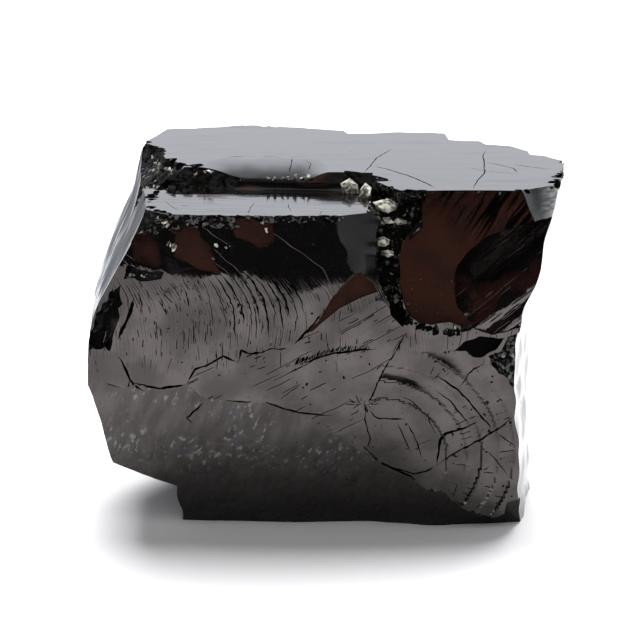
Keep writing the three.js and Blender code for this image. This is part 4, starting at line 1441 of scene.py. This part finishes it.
TOP_CRACKS = [
    ([(6.5, 5.3), (6.2, 4.2), (4.9, 1.3), (4.3, -1.9), (3.6, -4.6)], 0.08, 0.3),
    ([(4.2, -1.5), (5.8, -3), (8, -5.8), (9.3, -8.1), (10.5, -10.6)], 0.13, 0.35),
    ([(16, 5), (15.5, 2.6), (15.5, -0.3), (15.3, -4.6), (14.5, -7.3), (13.8, -11)], 0.09, 0.3),
    ([(15.6, -0.3), (17, -1.5), (18.2, -2.7), (18.5, -4.6)], 0.08, 0.3),
    ([(18.3, -1.1), (19.9, -2.3), (21.6, -3)], 0.07, 0.3),
    ([(-3.4, 1.3), (-3.5, -1.5), (-3.7, -3.4)], 0.08, 0.2),
    ([(-2.2, 0.5), (-1.5, -0.7), (-1.8, -3)], 0.07, 0.2),
    ([(13.6, -2.3), (15.4, -3.8), (18.7, -5)], 0.06, 0.15),
    ([(-6.9, -10), (-7.2, -11.8), (-7.5, -14.3)], 0.06, 0.15),
    ([(-3.7, -10.4), (-3.4, -13.6)], 0.05, 0.15),
    ([(-0.5, -12.9), (-0.7, -14.8)], 0.05, 0.15),
    ([(-15.5, -9.3), (-14.6, -11.8), (-13.8, -13.3)], 0.05, 0.15),
    ([(-13.9, -11), (-13, -11.4)], 0.08, 0.2),
]
ARCS = [(-9.6, 27.2, 22), (-8.7, 27.7, 20.8), (-7.9, 27.5, 22.6), (-7.1, 27.8, 21.4), (-6.4, 27.6, 23),
        (-5.6, 27.9, 20.9), (-4.9, 27.7, 22.2), (-4.2, 27.9, 21.6), (-3.5, 27.8, 23.2),
        (-2.8, 27.6, 22.4), (-2.1, 27.4, 23.8)]     # rib, upper end, lower end
cracks = []
for number, (line, top, foot) in enumerate(ARCS):
    arc_way = [(line - 0.1 * max(z - 23, 0) ** 2, 0, z) for z in np.linspace(top, foot, 9)]
    width = 0.08 + 0.04 * (number % 3)
    cracks.append(groove(walk(arc_way, stray=0.12, seed=80 + number), AHEAD, width, 0.2))
for number, (line, width, depth) in enumerate(FRONT_CRACKS):
    cracks.append(groove(walk([(x, 0, z) for x, z in line], seed=number), AHEAD, width, depth))
for number, (line, width, depth) in enumerate(TOP_CRACKS):
    cracks.append(groove(walk([(x, y, HEIGHT) for x, y in line], seed=40 + number), DOWN, width, depth))
# painted shade: the cracks take the black crevice finish
apply_tools("cracks", cracks, FINISHES["crevice"])

# %% [markdown]
# ### Dashes, combs and the star round the blow
#
# The last marks are nicks of a millimetre or less: dashes that hang along the ribs, a comb over
# the streak band, a star of short lines round the blow, and specks over the lower front.

# %% Dashes, combs and the star
def dash(x, z, length, angle, width=0.09):
    """A short nick in the front at (x, z), slanted by angle from upright."""
    dx, dz = math.sin(angle) * length / 2, math.cos(angle) * length / 2
    bend = 0.12 * length * (rng.random() - 0.5)
    middle = x + bend * math.cos(angle), 0, z - bend * math.sin(angle)
    points = [(x - dx, 0, z - dz), middle, (x + dx, 0, z + dz)]
    return groove(walk(points, 0.25, 0.03, int(abs(x * 31 + z * 17))), AHEAD, width, width * 2)


nicks = []
for _ in range(70):
    x, z = -18 + 15 * rng.random(), 18.5 + 8.5 * rng.random() ** 0.8
    slant = -0.2 * max(z - 23, 0) * 0.6
    length, slant = 0.5 + 1.6 * rng.random() ** 2, slant + 0.15 * (rng.random() - 0.5)
    nicks.append(dash(x, z, length, slant, 0.04 + 0.06 * rng.random()))
COMB = 40                                   # teeth of the comb
for k in range(COMB):
    t = k / (COMB - 1)
    x, z = -2.9 + 6.8 * t, 18.8 + 1.3 * math.sin(min(t, 0.75) / 0.75 * math.pi / 2)
    up, length, slant = z + 0.15 * rng.random(), 0.4 + 0.5 * rng.random(), 0.25 + 0.2 * rng.random()
    nicks.append(dash(x, up, length, slant, 0.08 + 0.06 * (1 - t)))
for _ in range(26):
    angle = 2 * math.pi * rng.random()
    far = 0.4 + 1.1 * rng.random()
    x, z = 3.4 + far * math.sin(angle), 14.5 + 0.6 * far * math.cos(angle)
    nicks.append(dash(x, z, 0.4 + 0.5 * rng.random(), angle, 0.08))
for _ in range(60):
    x, z = -8 + 26 * rng.random(), 4 + 15 * rng.random()
    nicks.append(dash(x, z, 0.15 + 0.4 * rng.random() ** 2, math.pi * rng.random(), 0.08))
# painted shade: the nicks take the black crevice finish
apply_tools("nicks", nicks, FINISHES["crevice"])

# %% [markdown]
# ## Finishing the lump
#
# Broken glass has soft swells inside a face and hard edges between faces, so we smooth by angle:
# edges sharper than the limit stay sharp. A weighted-normal modifier then evens the shading over
# the long thin faces that cutting leaves. The lump stands in for the solid in every view.

# %% Smooth faces, sharp edges
SHARP = math.radians(26)
only(stone)
bpy.ops.object.shade_smooth_by_angle(angle=SHARP)
even = stone.modifiers.new("even", "WEIGHTED_NORMAL")
even.keep_sharp = True
bpy.ops.object.modifier_apply(modifier=even.name)
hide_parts("shungite")
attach(stone, "root")
print("finished:", sum(len(face.vertices) - 2 for face in stone.data.polygons), "triangles")

# %% [markdown]
# ## Floor, room and camera
#
# The lump stands on a matt white sheet, open to the light behind it and above it. The sheet is
# cut aslant behind the left, so that the left side doesn't mirror pure white.

# %% Floor
bpy.ops.object.select_all(action="DESELECT")
FLOOR_CORNERS = [(-0.13, -0.2), (0.93, -0.2), (0.93, 0.8), (0.02, 0.8), (-0.035, 0.06)]
sheet = bpy.data.meshes.new("floor")
sheet.from_pydata([(x, y, 0) for x, y in FLOOR_CORNERS], [], [range(len(FLOOR_CORNERS))])
floor = bpy.data.objects.new("floor", sheet)
bpy.context.collection.objects.link(floor)
paper = bpy.data.materials.new("white_sheet")
paper.use_nodes = True
sheet_shader = paper.node_tree.nodes["Principled BSDF"]
sheet_shader.inputs["Base Color"].default_value = (0.9, 0.9, 0.91, 1)
sheet_shader.inputs["Roughness"].default_value = 0.9
sheet_shader.inputs["Specular IOR Level"].default_value = 0.0
floor.data.materials.append(paper)
print("floor laid")

# %% [markdown]
# ### The room
#
# The room is what the stone mirrors. It is dark in front, which is why steep faces look black
# while upright ones mirror the sheet. It is bright behind, dims with height, and has a soft glow
# at each side and a low brown one in front. Camera rays see plain white, so that the background
# stays clean.

# %% Room light
room = bpy.data.worlds.new("room")
bpy.context.scene.world = room
room.use_nodes = True
room.node_tree.nodes.clear()
air = Tree(room.node_tree)


def tinted(amount, tint):
    """A grey amount, as a colour."""
    shares = {k: air.times(amount, share) for k, share in enumerate(tint)}
    return air.node("ShaderNodeCombineColor", shares).outputs[0]


way = air.node("ShaderNodeTexCoord").outputs["Generated"]
x, y, z = air.node("ShaderNodeSeparateXYZ", {0: way}).outputs
behind = air.times(air.ramp(y, -0.05, 0.25, 0, 1), air.ramp(z, 0.36, 0.6, 1.38, 0.22),
                   air.ramp(x, -0.24, -0.12, 0.24, 1))
left = air.times(air.ramp(x, -0.6, -0.95, 0, 1), 0.5)
right = air.times(air.ramp(x, 0.6, 0.95, 0, 1), 0.86)
sides = air.times(air.sum(left, right), air.ramp(z, 0.3, 0.8, 1, 0.25),
                  air.ramp(y, -0.05, 0.25, 1, 0), air.ramp(y, -0.35, -0.05, 0, 1))
cool = tinted(air.sum(air.sum(behind, sides), 0.005), (0.97, 1.0, 1.08))
off_centre = air.sum(air.sum(x, 0.05, "SUBTRACT"), 0.0, "ABSOLUTE")
warm = air.times(air.ramp(off_centre, 0.25, 0.5, 1, 0), air.ramp(y, -0.5, -0.75, 0, 1),
                 air.ramp(z, 0.08, 0.18, 0, 1), air.ramp(z, 0.35, 0.55, 1, 0))
brown = tinted(warm, (0.1, 0.043, 0.032))
colour = air.node("ShaderNodeVectorMath", {0: cool, 1: brown}, operation="ADD").outputs[0]
seen = air.node("ShaderNodeBackground", {"Color": (1, 1, 1, 1), "Strength": 1.05}).outputs[0]
mirrored = air.node("ShaderNodeBackground", {"Color": colour}).outputs[0]
camera_ray = air.node("ShaderNodeLightPath").outputs["Is Camera Ray"]
mixed = air.node("ShaderNodeMixShader", {0: camera_ray, 1: mirrored, 2: seen}).outputs[0]
air.node("ShaderNodeOutputWorld", {"Surface": mixed})
print("room nodes:", len(air.tree.nodes))

# %% [markdown]
# ### Lamps
#
# Two large soft lamps add light from above and behind, and a little from the front. They are
# hidden from mirrors, because the room already gives the stone all that it should mirror.

# %% Soft light
LAMPS = {"above": ((0, 0.35, 0.9), 22), "fill": ((0, -0.6, 0.55), 2.6)}      # place in m, power in W
DISC = 0.9                                  # how wide each lamp is, in metres
for name, (place, energy) in LAMPS.items():
    bpy.ops.object.light_add(type="AREA", location=place)
    soft = bpy.context.object
    soft.name = name
    soft.data.shape = "DISK"
    soft.data.size = DISC
    soft.data.energy = energy
    soft.rotation_mode = "QUATERNION"
    soft.rotation_quaternion = (-soft.location).to_track_quat("-Z", "Y")
    soft.visible_glossy = False
    soft.visible_camera = False
print("lamps:", *LAMPS)

# %% [markdown]
# ### Camera
#
# The camera looks at the middle of the front from a little above, through a long lens, so that
# upright edges stay nearly upright. The view transform is set to Standard, which keeps the white
# sheet white and the near-black stone near black.

# %% Camera
ELEVATION, DISTANCE = math.radians(17.2), 300 * MM
LENS_LENGTH, SENSOR = 168.75, 36            # both in mm: a narrow view, about 12 degrees
NEAREST, FARTHEST = 0.01, 20                # what the camera can see, in metres
target = Vector((-0.65, 0.03, 18.15)) * MM
toward = Vector((0, -math.cos(ELEVATION), math.sin(ELEVATION)))
bpy.ops.object.camera_add(location=target + toward * DISTANCE)
camera = bpy.context.object
camera.rotation_mode = "QUATERNION"
camera.rotation_quaternion = (-toward).to_track_quat("-Z", "Y")
camera.data.lens = LENS_LENGTH
camera.data.sensor_width = SENSOR
camera.data.clip_start, camera.data.clip_end = NEAREST, FARTHEST
bpy.context.scene.camera = camera
bpy.context.scene.view_settings.view_transform = "Standard"
print("camera at", tuple(round(v, 3) for v in camera.location))

# %% [markdown]
# ## Last step
#
# The dressed lump has to fill the same box as the solid, since other scenes place it by that
# box. The last cell brings the scene up to date.

# %% Bring the scene up to date
bpy.context.view_layer.update()
